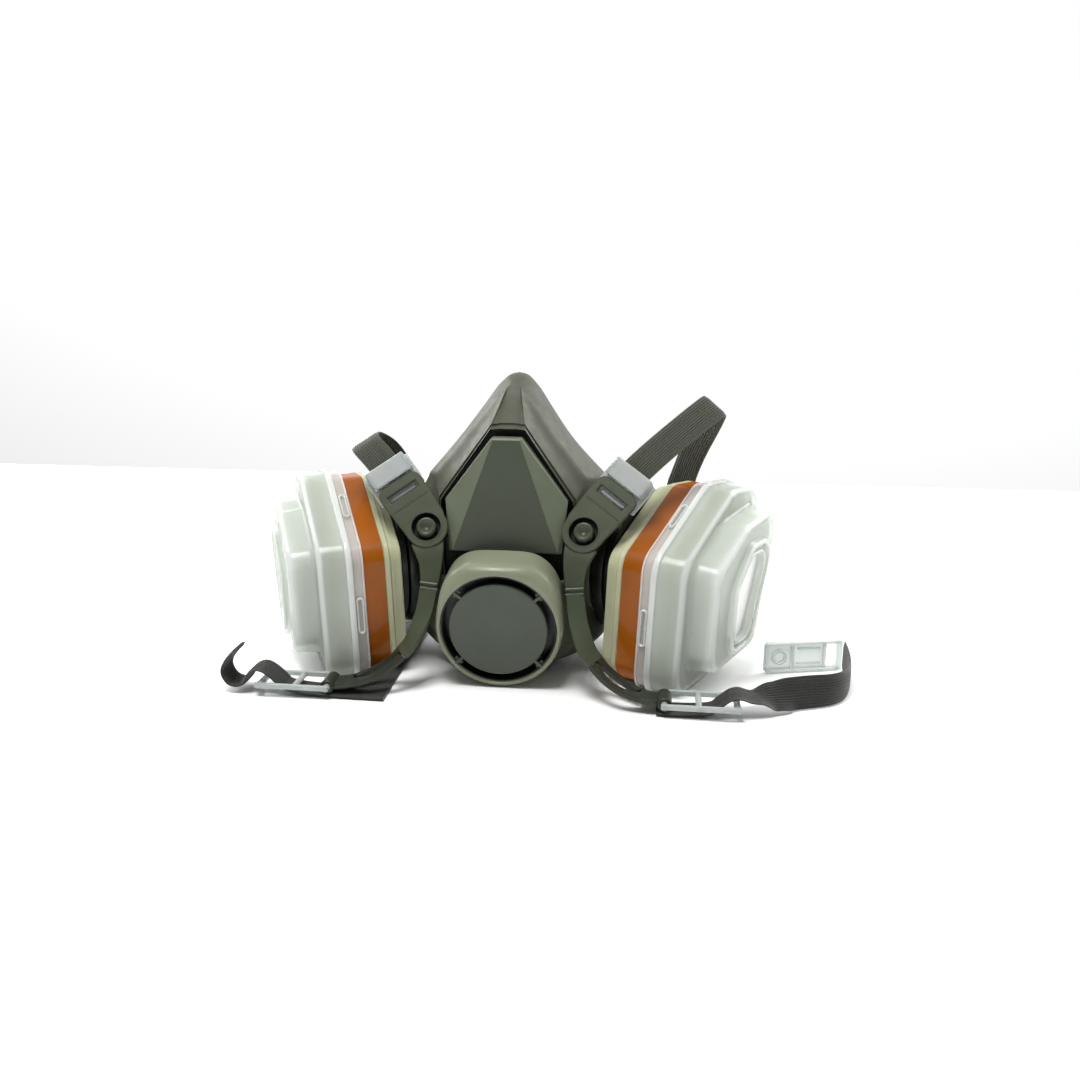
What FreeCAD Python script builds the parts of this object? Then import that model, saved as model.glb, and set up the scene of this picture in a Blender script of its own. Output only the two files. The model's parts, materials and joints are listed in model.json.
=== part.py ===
import FreeCAD, Part
import math
import os

import Sketcher
from FreeCAD import Matrix, Placement, Rotation, Vector

# Half-mask respirator: an elastomer facepiece, two bayonet cartridges with snap-on filter
# retainers, an exhalation valve under a snap cover, and an elastic head harness.
#
# Millimetres, +Z up, standing on z = 0. +X is the right as seen from the front, -Y is the front.
# The right-hand side is modelled, and every left-hand sub-part is a mirror feature of its twin.

DIMS = {
    # how far the front datum plane lies in front of the origin
    "setback": 17.95,
    # right-hand inhalation port: where its axis crosses the cartridge's back plane
    "port_across": 54.1, "port_depth": 32.2, "port_height": 42.0,
    "port_yaw": 24.0, "port_pitch": 2.5,
    # corners of the skirt's plan, measured from a corner datum below and in front of the axis
    "plan_datum": 60.0,
    "skirt_front": 23.0, "skirt_low": 18.0, "skirt_front_top": 73.0, "skirt_crest_x": 70.0,
    "skirt_crest": 95.0, "skirt_back": 103.0, "skirt_back_top": 92.0, "skirt_heel": 85.0,
    "skirt_round": 11.0,
    # corners of the filter box's plan, from the same datum
    "box_front": 31.0, "box_low": 30.0, "box_front_top": 70.0, "box_crest_x": 59.0,
    "box_crest": 82.5, "box_back": 94.0, "box_back_top": 85.0, "box_heel": 79.0,
    "box_round": 8.0,
    # window of the filter box, from the same datum
    "window_front": 48.0, "window_low": 38.0, "window_front_top": 60.0, "window_crest_x": 61.0,
    "window_crest": 71.5, "window_back": 78.5, "window_back_top": 71.0, "window_heel": 64.0,
    "window_round": 7.0, "window_lip": 4.6, "window_lip_width": 1.6,
    # levels along the port axis
    "base_low": 0.2, "base_step": 3.4, "base_top": 7.0, "shell_top": 29.0,
    "label_low": 7.4, "label_high": 19.9, "bed_low": 8.8, "bed_high": 27.2, "grille_thick": 1.6,
    "filter_low": 29.6, "filter_high": 43.4, "rim_low": 20.3, "shoulder": 33.2,
    "box_high": 45.0, "lip_high": 47.3, "wall": 1.5,
    # insets from the skirt's plan
    "inset_shell": 2.4, "inset_foot": 4.2, "inset_base": 3.2, "label_thick": 0.3,
    # slots of the grille over the carbon
    "grille_slot": 31.0, "grille_gap": 3.2, "grille_pitch": 6.4,
    # bayonet port, gasket and inhalation flap
    "flange_radius": 29.0, "flange_low": -3.0, "flange_high": -1.0,
    "tube_radius": 14.6, "tube_bore": 12.6, "tube_high": 4.0, "tube_low": -11.0,
    "lug_radius": 17.1, "lug_low": 2.1, "lug_width": 9.0, "lug_clear": 0.3, "twist": 30.0,
    "gasket_outer": 23.0, "gasket_bore": 18.4, "gasket_low": -0.9, "gasket_high": 0.1,
    "mouth_radius": 14.9, "socket_radius": 17.4, "socket_high": 5.2, "mouth_high": 1.9,
    "outlet_radius": 11.0,
    "flap_radius": 13.6, "flap_thick": 0.8, "flap_gap": 0.1, "flap_bore": 1.8,
    "pin_radius": 1.6, "pin_head": 3.2, "spoke_width": 1.8, "spoke_deep": 1.6,
    # exhalation valve: disc centre of its cover, and levels back along its axis
    "exhale_front": -13.0, "exhale_height": 25.0, "exhale_tilt": 8.7,
    "cover_radius": 25.0, "cover_deep": 17.0, "cover_wall": 1.8, "cover_lip": 2.6,
    "cover_half_top": 14.3, "cover_crest": 26.5, "cover_side": 7.0,
    "opening_radius": 22.6, "disc_radius": 19.3, "disc_thick": 2.2,
    "rib_width": 1.5, "rib_angle": 42.0,
    "seat_flange": 20.4, "seat_flange_back": 17.1, "seat_flange_front": 14.9,
    "seat_radius": 17.8, "seat_bore": 15.4, "seat_back": 26.0, "seat_front": 9.4,
    "valve_radius": 17.2, "valve_thick": 1.0,
    # facepiece
    "seal_wall": 3.0, "seal_lip": 8.0, "cheek_boss": 21.0, "chin_boss": 21.5, "hole_clear": 0.1,
    # harness
    "arm_thick": 2.0, "yoke_ring": 24.0, "yoke_bore": 18.1,
    "slot_long": 13.4, "slot_high": 3.0, "stud_hole": 5.9, "stud_radius": 4.1,
    "strap_width": 12.5, "strap_thick": 1.4,
    "buckle_wide": 18.0, "clasp_thick": 2.8,
}

LETTERS = ("front", "low", "front_top", "crest_x", "crest", "back", "back_top", "heel")

doc = FreeCAD.newDocument("respirator")
sheet = doc.addObject("Spreadsheet::Sheet", "dims")
for row, (alias, value) in enumerate(DIMS.items(), start=1):
    sheet.set(f"A{row}", alias)
    sheet.set(f"B{row}", str(value))
    sheet.setAlias(f"B{row}", alias)
doc.recompute()

NODES = []


def dim(alias):
    return float(sheet.get(alias))


def at(across, depth, height):
    """A point given by its depth behind the front datum plane."""
    return Vector(across, depth - dim("setback"), height)


def node(obj, label):
    """Names a finished sub-part, which also names its file."""
    obj.Label = label
    NODES.append(obj)
    return obj


def pair(obj, name):
    """Keeps a right-hand sub-part and adds its left-hand mirror image."""
    node(obj, name + "_right")
    twin = doc.addObject("Part::Mirroring", name + "_twin")
    twin.Source = obj
    twin.Normal = Vector(1, 0, 0)
    return node(twin, name + "_left")


def solid(shape, name):
    """A sub-part whose shape is computed from stations along it."""
    obj = doc.addObject("Part::Feature", name)
    obj.Shape = shape
    return obj


def axes(origin, first, third):
    """A placement at origin with local x along first and local z along third."""
    second = third.cross(first)
    rows = Matrix(first.x, second.x, third.x, origin.x,
                  first.y, second.y, third.y, origin.y,
                  first.z, second.z, third.z, origin.z,
                  0, 0, 0, 1)
    return Placement(rows)


def stack_axes():
    """Local x runs back along the cartridge, y up it, z out of the mask along the port axis."""
    yaw = math.radians(dim("port_yaw"))
    pitch = math.radians(dim("port_pitch"))
    back = Vector(math.sin(yaw), math.cos(yaw), 0)
    out = Vector(math.cos(yaw) * math.cos(pitch), -math.sin(yaw) * math.cos(pitch), -math.sin(pitch))
    return axes(at(dim("port_across"), dim("port_depth"), dim("port_height")), back, out)


def exhale_axes():
    """Local x to the right, y up the valve's face, z out of the mask along the valve's axis."""
    tilt = math.radians(dim("exhale_tilt"))
    out = Vector(0, -math.cos(tilt), -math.sin(tilt))
    return axes(at(0, dim("exhale_front"), dim("exhale_height")), Vector(1, 0, 0), out)


STACK = stack_axes()
EXHALE = exhale_axes()


def new_body(name, placement):
    body = doc.addObject("PartDesign::Body", name)
    body.Placement = placement
    return body


def new_sketch(body, name, role="XY_Plane"):
    sketch = body.newObject("Sketcher::SketchObject", name)
    plane = next(f for f in body.Origin.OriginFeatures if f.Role == role)
    sketch.AttachmentSupport = [(plane, "")]
    sketch.MapMode = "FlatFace"
    return sketch


def polygon(sketch, corners):
    """A closed polygon whose corners are held by expressions for their x and y."""
    count = len(corners)
    for i in range(count):
        here = Vector(10 + i, 10 + i * i, 0)
        there = Vector(11 + i, 10 + (i + 1) ** 2, 0)
        sketch.addGeometry(Part.LineSegment(here, there))
    for i in range(count):
        sketch.addConstraint(Sketcher.Constraint("Coincident", i, 2, (i + 1) % count, 1))
    for i, (across, up) in enumerate(corners):
        for kind, expression in (("DistanceX", across), ("DistanceY", up)):
            value = float(sheet.evalExpression(expression))
            index = sketch.addConstraint(Sketcher.Constraint(kind, -1, 1, i, 1, value))
            sketch.setExpression(f"Constraints[{index}]", expression)
    return sketch


def plan(body, name, kind, inset, low):
    """The five-cornered plan of the skirt, box or window, drawn in from its outline by inset."""
    sketch = new_sketch(body, name)
    sketch.setExpression("AttachmentOffset.Base.x", "-dims.plan_datum")
    sketch.setExpression("AttachmentOffset.Base.y", "-dims.plan_datum")
    sketch.setExpression("AttachmentOffset.Base.z", low)
    front, bottom, front_top, crest_x, crest, back, back_top, heel = (
        f"dims.{kind}_{letter}" for letter in LETTERS)
    return polygon(sketch, [
        (f"{front} + ({inset})", f"{bottom} + ({inset})"),
        (f"{front} + ({inset})", f"{front_top} - 0.64 * ({inset})"),
        (f"{crest_x} - 0.2 * ({inset})", f"{crest} - ({inset})"),
        (f"{back} - 1.1 * ({inset})", f"{back_top} - ({inset})"),
        (f"{heel} - 0.7 * ({inset})", f"{bottom} + ({inset})"),
    ])


def pad(body, sketch, length):
    """Pads a sketch out along the body's z by an expression for the length."""
    feature = body.newObject("PartDesign::Pad", sketch.Name + "_pad")
    feature.Profile = sketch
    feature.setExpression("Length", length)
    sketch.Visibility = False
    return feature


def round_uprights(body, feature, radius, low, high):
    """Rounds the edges of feature that run straight up from the level low to the level high."""
    doc.recompute()
    names = []
    back = body.Placement.inverse()
    for index, edge in enumerate(feature.Shape.Edges, start=1):
        ends = sorted(round(v.Point.z, 3) for v in edge.Vertexes)
        if ends == [round(low, 3), round(high, 3)]:
            names.append(f"Edge{index}")
    fillet = body.newObject("PartDesign::Fillet", feature.Name + "_round")
    fillet.Base = (feature, names)
    fillet.setExpression("Radius", radius)
    return fillet


def plan_solid(name, kind, inset, low, high, corner):
    """A rounded prism on one of the plans, between two levels of the stack."""
    body = new_body(name, STACK)
    sketch = plan(body, name + "_plan", kind, inset, low)
    feature = pad(body, sketch, f"{high} - ({low})")
    bottom, top = (float(sheet.evalExpression(e)) for e in (low, high))
    round_uprights(body, feature, corner, bottom, top)
    return body


def boolean(kind, name, base, tool):
    obj = doc.addObject(f"Part::{kind}", name)
    obj.Base = base
    obj.Tool = tool
    return obj


def cut(name, base, tool):
    return boolean("Cut", name, base, tool)


def fuse(name, *shapes):
    obj = doc.addObject("Part::MultiFuse", name)
    obj.Shapes = list(shapes)
    return obj


def cylinder(name, placement, radius, low, high):
    """A round bar on a local z axis, with its sizes bound to expressions."""
    obj = doc.addObject("Part::Cylinder", name)
    level = float(sheet.evalExpression(low))
    obj.Placement = placement.multiply(Placement(Vector(0, 0, level), Rotation()))
    obj.setExpression("Radius", radius)
    obj.setExpression("Height", f"{high} - ({low})")
    return obj


def block(name, placement, centre, size):
    """A box centred at a local point, with its three sides bound to expressions."""
    obj = doc.addObject("Part::Box", name)
    sides = [float(sheet.evalExpression(e)) for e in size]
    corner = Vector(*centre) - Vector(*sides) * 0.5
    obj.Placement = placement.multiply(Placement(corner, Rotation()))
    for side, expression in zip(("Length", "Width", "Height"), size):
        obj.setExpression(side, expression)
    return obj


def ring(name, placement, outer, bore, low, high):
    tube = cylinder(name + "_outer", placement, outer, low, high)
    hole = cylinder(name + "_bore", placement, bore, f"{low} - 1", f"{high} + 1")
    return cut(name, tube, hole)


def turned(placement, angle):
    return placement.multiply(Placement(Vector(), Rotation(Vector(0, 0, 1), angle)))


# ---------------------------------------------------------------- ribbons and lofts

def rectangle(centre, across, through):
    """A rectangular section with half-extents across and through its centre."""
    corners = [centre + across + through, centre - across + through,
               centre - across - through, centre + across - through]
    return Part.makePolygon(corners + corners[:1])


def ribbon(stations, thick):
    """A flat band through stations of (centre, half-width vector), lofted piece by piece."""
    wires = []
    last = len(stations) - 1
    for i, (centre, across) in enumerate(stations):
        along = stations[min(i + 1, last)][0] - stations[max(i - 1, 0)][0]
        through = along.cross(across).normalize() * (thick / 2)
        wires.append(rectangle(centre, across, through))
    return Part.makeLoft(wires, True, True)


def rounded_route(points):
    """Straight runs joined by tangent arcs, as a list of closely spaced points."""
    route = [points[0]]
    for before, corner, after in zip(points, points[1:], points[2:]):
        back = before - corner
        on = after - corner
        reach = 0.45 * min(back.Length, on.Length)
        back.normalize()
        on.normalize()
        start, end = corner + back * reach, corner + on * reach
        for step in range(7):
            s = step / 6
            route.append(start * (1 - s) ** 2 + corner * (2 * s * (1 - s)) + end * s ** 2)
    return route + [points[-1]]


def blend(points, values):
    """Half-width vectors at every point of the route, blended between those of its corners."""
    route = rounded_route(points)
    marks = [0.0]
    for a, b in zip(route, route[1:]):
        marks.append(marks[-1] + (b - a).Length)
    spans = [0.0]
    for a, b in zip(points, points[1:]):
        spans.append(spans[-1] + (b - a).Length)
    scaled = [s * marks[-1] / spans[-1] for s in spans]
    stations = []
    for point, mark in zip(route, marks):
        i = max(k for k in range(len(scaled) - 1) if scaled[k] <= mark + 1e-9)
        share = min(1.0, (mark - scaled[i]) / (scaled[i + 1] - scaled[i]))
        stations.append((point, values[i] * (1 - share) + values[i + 1] * share))
    return stations


def tightest_bend(points):
    """The smallest radius of the circles through each three points in a row."""
    radii = []
    for a, b, c in zip(points, points[1:], points[2:]):
        area = (b - a).cross(c - a).Length / 2
        if area > 1e-6:
            radii.append((b - a).Length * (c - b).Length * (c - a).Length / (4 * area))
    return min(radii, default=math.inf)


def strap(corners, thick):
    """A strap from (x, depth, height, width direction) at the corners of its route."""
    half = dim("strap_width") / 2
    points = [at(*c[:3]) for c in corners]
    across = [Vector(*c[3]).normalize() * half for c in corners]
    stations = blend(points, across)
    square = []
    last = len(stations) - 1
    for i, (centre, wide) in enumerate(stations):
        along = (stations[min(i + 1, last)][0] - stations[max(i - 1, 0)][0]).normalize()
        wide = wide - along * wide.dot(along)
        square.append((centre, wide.normalize() * half))
    length = sum((b[0] - a[0]).Length for a, b in zip(stations, stations[1:]))
    return ribbon(square, thick), length, tightest_bend([s[0] for s in stations])


# ---------------------------------------------------------------- facepiece

# half-outlines of the facepiece (x, z), from its top round to its bottom
FRONT_OUTLINE = [(0, 105), (6, 102), (12, 95), (20, 84), (27, 71), (31, 57), (31, 40), (28, 22),
                 (19, 8), (0, 3.5)]
MIDDLE_OUTLINE = [(0, 117), (7.0, 112), (13.5, 101), (22, 89), (32, 76), (41, 61), (42, 44),
                  (36, 20), (24, 6), (0, 0.8)]
REAR_OUTLINE = [(0, 118.5), (7.5, 113.5), (15.5, 101), (26, 87), (36, 76), (47, 61), (49, 45),
                (40, 20), (25, 5.5), (0, 0)]
# depth of each outline at z = 0, and how much it changes for each millimetre of height
FRONT_PLANE, MIDDLE_PLANE, REAR_PLANE = (5.0, 0.13), (36.0, -0.04), (61.0, -0.08)


def outline_wire(outline, plane_line, inset, shift):
    """A closed smooth wire through both halves of an outline, drawn in by inset."""
    whole = outline + [(-x, z) for x, z in outline[-2:0:-1]]
    count = len(whole)
    points = []
    for i in range(count):
        (x0, z0), (x, z), (x1, z1) = whole[i - 1], whole[i], whole[(i + 1) % count]
        run = math.hypot(x1 - x0, z1 - z0)
        inward = (z1 - z0) / run, -(x1 - x0) / run
        x, z = x + inward[0] * inset, z + inward[1] * inset
        points.append(at(x, plane_line[0] + plane_line[1] * z + shift, z))
    curve = Part.BSplineCurve()
    curve.interpolate(points, PeriodicFlag=True)
    return Part.Wire(curve.toShape())


def facepiece_shell():
    wall, lip = dim("seal_wall"), dim("seal_lip")
    outer = Part.makeLoft([outline_wire(FRONT_OUTLINE, FRONT_PLANE, 0, 0),
                           outline_wire(MIDDLE_OUTLINE, MIDDLE_PLANE, 0, 0),
                           outline_wire(REAR_OUTLINE, REAR_PLANE, 0, 0)], True, False)
    inner = Part.makeLoft([outline_wire(FRONT_OUTLINE, FRONT_PLANE, wall, wall),
                           outline_wire(MIDDLE_OUTLINE, MIDDLE_PLANE, wall, 0),
                           outline_wire(REAR_OUTLINE, REAR_PLANE, wall + 1, -5),
                           outline_wire(REAR_OUTLINE, REAR_PLANE, lip, 1)], True, False)
    return outer, inner


def rod(placement, radius, low, high):
    bar = Part.makeCylinder(radius, high - low)
    bar.Placement = placement.multiply(Placement(Vector(0, 0, low), Rotation()))
    return bar


def both_sides(shape):
    return [shape, shape.mirror(Vector(), Vector(1, 0, 0))]


def build_face_seal():
    """The elastomer facepiece, relieved where the harness, ports and valve sit in it."""
    outer, inner = facepiece_shell()
    cheeks = both_sides(rod(STACK, dim("cheek_boss"), -30, dim("flange_low") - 0.1))
    chin = rod(EXHALE, dim("chin_boss"), -45, -dim("seat_flange_back") - 2.4)
    skin = outer.fuse(cheeks + [chin]).cut(inner)
    clear = dim("hole_clear")
    holes = both_sides(rod(STACK, dim("tube_radius") + clear, -45, 20))
    holes.append(rod(EXHALE, dim("seat_radius") + clear, -60, 20))
    front = both_sides(rod(STACK, 70, dim("flange_low") - 0.1, 60))
    cover_room = rod(EXHALE, dim("cover_radius") + 0.4, -dim("seat_flange_back") - 0.1, 40)
    doc.recompute()
    held = [doc.getObjectsByLabel(label)[0].Shape
            for label in ("harness_yoke", "harness_stud_right", "harness_stud_left")]
    skin = skin.cut(holes + front + [cover_room] + held)
    below = Part.makeBox(400, 400, 50, Vector(-200, -200, -50))
    skin = skin.cut(below)
    skin = max(skin.Solids, key=lambda s: s.Volume)
    node(solid(skin, "seal"), "face_seal")


def build_adapter():
    """The stiff centre panel with its bevelled edge, on the front of the facepiece."""
    outline = [(6.0, 97.5), (24.0, 71.0), (20.5, 52.5)]
    depth, slope = FRONT_PLANE

    def wire(inset, lift):
        ring_points = [(x - inset, z - inset * 0.6) for x, z in outline]
        whole = ring_points + [(-x, z) for x, z in reversed(ring_points)]
        points = [at(x, depth + slope * z - lift, z) for x, z in whole]
        return Part.makePolygon(points + points[:1])

    plate = Part.makeLoft([wire(0, 0.3), wire(0, 2.0), wire(1.6, 3.4)], True, True)
    yoke_gap = rod(EXHALE, dim("yoke_ring") + 1.0, -40, 20)
    node(solid(plate.cut(yoke_gap), "adapter"), "centre_adapter")


# ---------------------------------------------------------------- exhalation valve

def spokes(name, placement, reach, low, high):
    """Two crossed bars that carry a valve's pin."""
    middle = (float(sheet.evalExpression(low)) + float(sheet.evalExpression(high))) / 2
    bars = []
    for i, angle in enumerate((0, 90)):
        size = (f"2 * {reach}", "dims.spoke_width", f"{high} - ({low})")
        bars.append(block(f"{name}_spoke{i}", turned(placement, angle), (0, 0, middle), size))
    return bars


def build_exhalation():
    seat = fuse("exhale_seat", ring("seat_tube", EXHALE, "dims.seat_radius", "dims.seat_bore",
                                    "-dims.seat_back", "-dims.seat_front"),
                ring("seat_flange", EXHALE, "dims.seat_flange", "dims.seat_bore",
                     "-dims.seat_flange_back", "-dims.seat_flange_front"),
                *spokes("seat", EXHALE, "(dims.seat_bore + 0.6)", "-dims.seat_front - 2.6",
                        "-dims.seat_front - 1.0"),
                cylinder("seat_pin", EXHALE, "dims.pin_radius", "-dims.seat_front - 2.6",
                         "-dims.seat_front + 4.2"),
                cylinder("seat_pin_head", EXHALE, "dims.pin_head", "-dims.seat_front + 4.0",
                         "-dims.seat_front + 5.0"))
    node(seat, "exhalation_seat")
    flap = ring("exhale_flap", EXHALE, "dims.valve_radius", "dims.flap_bore",
                "-dims.seat_front + dims.flap_gap",
                "-dims.seat_front + dims.flap_gap + dims.valve_thick")
    node(flap, "exhalation_flap")


def cover_body(name, inset, low, high):
    """The cover's outline: round below, with sides that draw in to a flat top."""
    body = new_body(name, EXHALE)
    sketch = new_sketch(body, name + "_top")
    datum = 60
    sketch.setExpression("AttachmentOffset.Base.x", f"-{datum}")
    sketch.setExpression("AttachmentOffset.Base.y", f"-{datum}")
    sketch.setExpression("AttachmentOffset.Base.z", low)
    wide = f"(dims.cover_radius * 0.96 - {inset})"
    top = f"(dims.cover_half_top - 0.6 * {inset})"
    polygon(sketch, [
        (f"{datum} - {wide}", f"{datum} + dims.cover_side"),
        (f"{datum} - {top}", f"{datum} + dims.cover_crest - {inset}"),
        (f"{datum} + {top}", f"{datum} + dims.cover_crest - {inset}"),
        (f"{datum} + {wide}", f"{datum} + dims.cover_side"),
        (f"{datum} + {wide} * 0.6", f"{datum} - 2"),
        (f"{datum} - {wide} * 0.6", f"{datum} - 2"),
    ])
    pad(body, sketch, f"{high} - ({low})")
    drum = cylinder(name + "_drum", EXHALE, f"dims.cover_radius - {inset}", low, high)
    return fuse(name + "_both", body, drum)


def build_cover():
    outside = cover_body("cover", "0", "-dims.cover_deep", "0")
    inside = cover_body("cover_room", "dims.cover_wall", "-dims.cover_deep - 1",
                        "-dims.cover_lip")
    hollow = cut("cover_shell", outside, inside)
    opening = cylinder("cover_opening", EXHALE, "dims.opening_radius", "-dims.cover_lip - 1", "1")
    open_shell = cut("cover_open", hollow, opening)
    disc = cylinder("cover_disc", EXHALE, "dims.disc_radius", "-dims.disc_thick", "0")
    parts = [open_shell, disc]
    for i in range(4):
        angle = (dim("rib_angle"), 180 - dim("rib_angle"))[i % 2] + 180 * (i // 2)
        reach = (dim("disc_radius") + dim("opening_radius")) / 2
        size = ("dims.opening_radius - dims.disc_radius + 1.6", "dims.rib_width", "1.6")
        parts.append(block(f"cover_rib{i}", turned(EXHALE, angle), (reach, 0, -1.0), size))
    node(fuse("cover_whole", *parts), "exhalation_cover")


# ---------------------------------------------------------------- inhalation ports

def build_port():
    lugs = []
    for i in range(3):
        size = ("4", "dims.lug_width", "dims.tube_high - dims.lug_low")
        middle = (dim("tube_high") + dim("lug_low")) / 2
        lugs.append(block(f"lug{i}", turned(STACK, 90 + 120 * i), (14.9, 0, middle), size))
    rim = ring("lug_rim", STACK, "dims.lug_radius", "dims.tube_bore", "dims.lug_low",
               "dims.tube_high")
    lug_blocks = fuse("lug_blocks", *lugs)
    kept = boolean("Common", "lugs_kept", rim, lug_blocks)
    port = fuse("port", ring("port_tube", STACK, "dims.tube_radius", "dims.tube_bore",
                             "dims.tube_low", "dims.tube_high"),
                ring("port_flange", STACK, "dims.flange_radius", "dims.tube_bore",
                     "dims.flange_low", "dims.flange_high"),
                kept,
                *spokes("port", STACK, "(dims.tube_bore + 0.6)", "dims.tube_low + 0.6",
                        "dims.tube_low + 0.6 + dims.spoke_deep"),
                cylinder("port_pin", STACK, "dims.pin_radius", "dims.tube_low - 2.9",
                         "dims.tube_low + 2"),
                cylinder("port_pin_head", STACK, "dims.pin_head", "dims.tube_low - 3.6",
                         "dims.tube_low - 2.7"))
    pair(port, "inhalation_port")
    pair(ring("gasket", STACK, "dims.gasket_outer", "dims.gasket_bore", "dims.gasket_low",
              "dims.gasket_high"), "port_gasket")
    flap = ring("inhale_flap", STACK, "dims.flap_radius", "dims.flap_bore",
                "dims.tube_low - dims.flap_gap - dims.flap_thick", "dims.tube_low - dims.flap_gap")
    pair(flap, "inhalation_flap")


# ---------------------------------------------------------------- cartridge and filter

def build_cartridge():
    foot = plan_solid("base_foot", "skirt", "dims.inset_foot", "dims.base_low",
                      "dims.base_step", "dims.skirt_round - 3")
    upper = plan_solid("base_upper", "skirt", "dims.inset_base", "dims.base_step",
                       "dims.base_top", "dims.skirt_round - 2")
    base = fuse("base_plate", foot, upper)
    mouth = cylinder("base_mouth", STACK, "dims.mouth_radius", "dims.base_low - 1",
                     "dims.mouth_high + 0.1")
    socket = cylinder("base_socket", STACK, "dims.socket_radius", "dims.mouth_high",
                      "dims.socket_high")
    outlet = cylinder("base_outlet", STACK, "dims.outlet_radius", "dims.socket_high - 1",
                      "dims.base_top + 1")
    cuts = [mouth, socket, outlet]
    for i in range(3):
        angle = 90 + 120 * i - dim("twist")
        size = ("4.2", "dims.lug_width + 2 * dims.lug_clear", "dims.mouth_high + 1")
        cuts.append(block(f"entry{i}", turned(STACK, angle), (15.2, 0, 0.8), size))
    pair(cut("base_whole", base, fuse("base_cuts", *cuts)), "cartridge_base")
    shell = plan_solid("shell", "skirt", "dims.inset_shell", "dims.base_top", "dims.shell_top",
                       "dims.skirt_round - 2")
    room = plan_solid("shell_room", "skirt", "dims.inset_shell + dims.wall", "dims.base_top + 1.6",
                      "dims.shell_top + 2", "dims.skirt_round - 3")
    floor_hole = cylinder("shell_outlet", STACK, "dims.outlet_radius", "dims.base_top - 1",
                          "dims.base_top + 3")
    pair(cut("shell_whole", shell, fuse("shell_cuts", room, floor_hole)), "cartridge_body")
    band = plan_solid("band", "skirt", "dims.inset_shell - dims.label_thick", "dims.label_low",
                      "dims.label_high", "dims.skirt_round - 2 + dims.label_thick")
    core = plan_solid("band_core", "skirt", "dims.inset_shell - 0.02", "dims.label_low - 1",
                      "dims.label_high + 1", "dims.skirt_round - 2 + 0.02")
    pair(cut("band_whole", band, core), "cartridge_label")
    bed = plan_solid("bed", "skirt", "dims.inset_shell + dims.wall + 0.1", "dims.bed_low",
                     "dims.bed_high", "dims.skirt_round - 3")
    pair(bed, "carbon_bed")
    build_grille()


def build_grille():
    """The moulded grille that holds the carbon in, a plate with rows of slots."""
    plate = plan_solid("grille", "skirt", "dims.inset_shell + dims.wall + 0.1",
                       "dims.shell_top - dims.grille_thick", "dims.shell_top - 0.1",
                       "dims.skirt_round - 3")
    slots = []
    for row in range(-3, 4):
        size = ("dims.grille_slot", "dims.grille_gap", "4")
        centre = (0, row * dim("grille_pitch") - 4, dim("shell_top"))
        slots.append(block(f"grille_slot{row + 3}", STACK, centre, size))
    pair(cut("grille_whole", plate, fuse("grille_slots", *slots)), "cartridge_grille")


def build_filter():
    media = plan_solid("media", "box", "dims.wall + 0.4", "dims.filter_low",
                       "dims.filter_high", "dims.box_round - 2")
    pair(media, "particulate_filter")


def build_retainer():
    """The snap-on retainer: a skirt over the cartridge, a box for the filter and a lipped window."""
    skirt = plan_solid("skirt", "skirt", "0", "dims.rim_low", "dims.shoulder", "dims.skirt_round")
    box = plan_solid("box", "box", "0", "dims.shoulder", "dims.box_high", "dims.box_round")
    lip = plan_solid("lip", "window", "-dims.window_lip", "dims.box_high", "dims.lip_high",
                     "dims.window_round + 3")
    outside = fuse("retainer_outside", skirt, box, lip)
    skirt_room = plan_solid("skirt_room", "skirt", "dims.wall", "dims.rim_low - 1",
                            "dims.shoulder - dims.wall", "dims.skirt_round - 1.5")
    box_room = plan_solid("box_room", "box", "dims.wall", "dims.shoulder - 3",
                          "dims.box_high - dims.wall", "dims.box_round - 1.5")
    lip_room = plan_solid("lip_room", "window", "dims.window_lip_width - dims.window_lip",
                          "dims.box_high + 0.4", "dims.lip_high + 1", "dims.window_round + 2")
    window = plan_solid("window", "window", "0", "dims.box_high - 3", "dims.lip_high + 1",
                        "dims.window_round")
    floor = doc.addObject("Part::Box", "ground")
    floor.Length, floor.Width, floor.Height = 400, 400, 50
    floor.Placement.Base = Vector(-200, -200, -50)
    inside = fuse("retainer_inside", skirt_room, box_room, lip_room, window, floor)
    pair(cut("retainer_whole", outside, inside), "filter_retainer")


# ---------------------------------------------------------------- harness

PLATE_NORMAL = Vector(-0.09, -0.87, 0.48).normalize()
PLATE_SLOT = Vector(0.777, -0.362, -0.508).normalize()
PLATE_CENTRE = (41.8, 11.1, 73.5)
STUD_DROP = -17.4


def plate_axes():
    """Local x along the strap slot, y up the arm's end plate, z out of its front."""
    slot = (PLATE_SLOT - PLATE_NORMAL * PLATE_SLOT.dot(PLATE_NORMAL)).normalize()
    return axes(at(*PLATE_CENTRE), slot, PLATE_NORMAL)


PLATE = plate_axes()
STUD = PLATE.multiply(Placement(Vector(0.4, STUD_DROP, 0), Rotation()))

# half-outline of the arm's end plate in its own plane: (x, y) from its top down to its neck
PLATE_OUTLINE = [(6.5, 5.9), (9.2, 4.0), (9.6, -1.0), (9.0, -9.0), (8.6, -17.0), (7.2, -23.0)]
# lower arm: centre (x, depth, height) and half-width vector at each station
ARM_STATIONS = [
    ((29.6, 4.3, 59.0), (5.6, -2.6, -3.7)), ((28.2, 0.2, 50.0), (5.0, -1.6, -2.2)),
    ((28.9, -2.8, 38.8), (3.7, 0.3, 0.4)), ((30.5, -7.0, 28.0), (3.4, 1.7, 1.0)),
    ((34.5, -12.5, 18.5), (2.2, 4.4, 1.2)), ((41.5, -16.5, 11.2), (0.8, 5.8, 0.6)),
    ((50.0, -20.8, 6.8), (0.3, 6.0, 0.3)), ((57.0, -23.3, 4.9), (0.0, 5.6, 0.0)),
    ((61.6, -23.4, 4.4), (0.0, 5.2, 0.0)),
]
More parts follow.
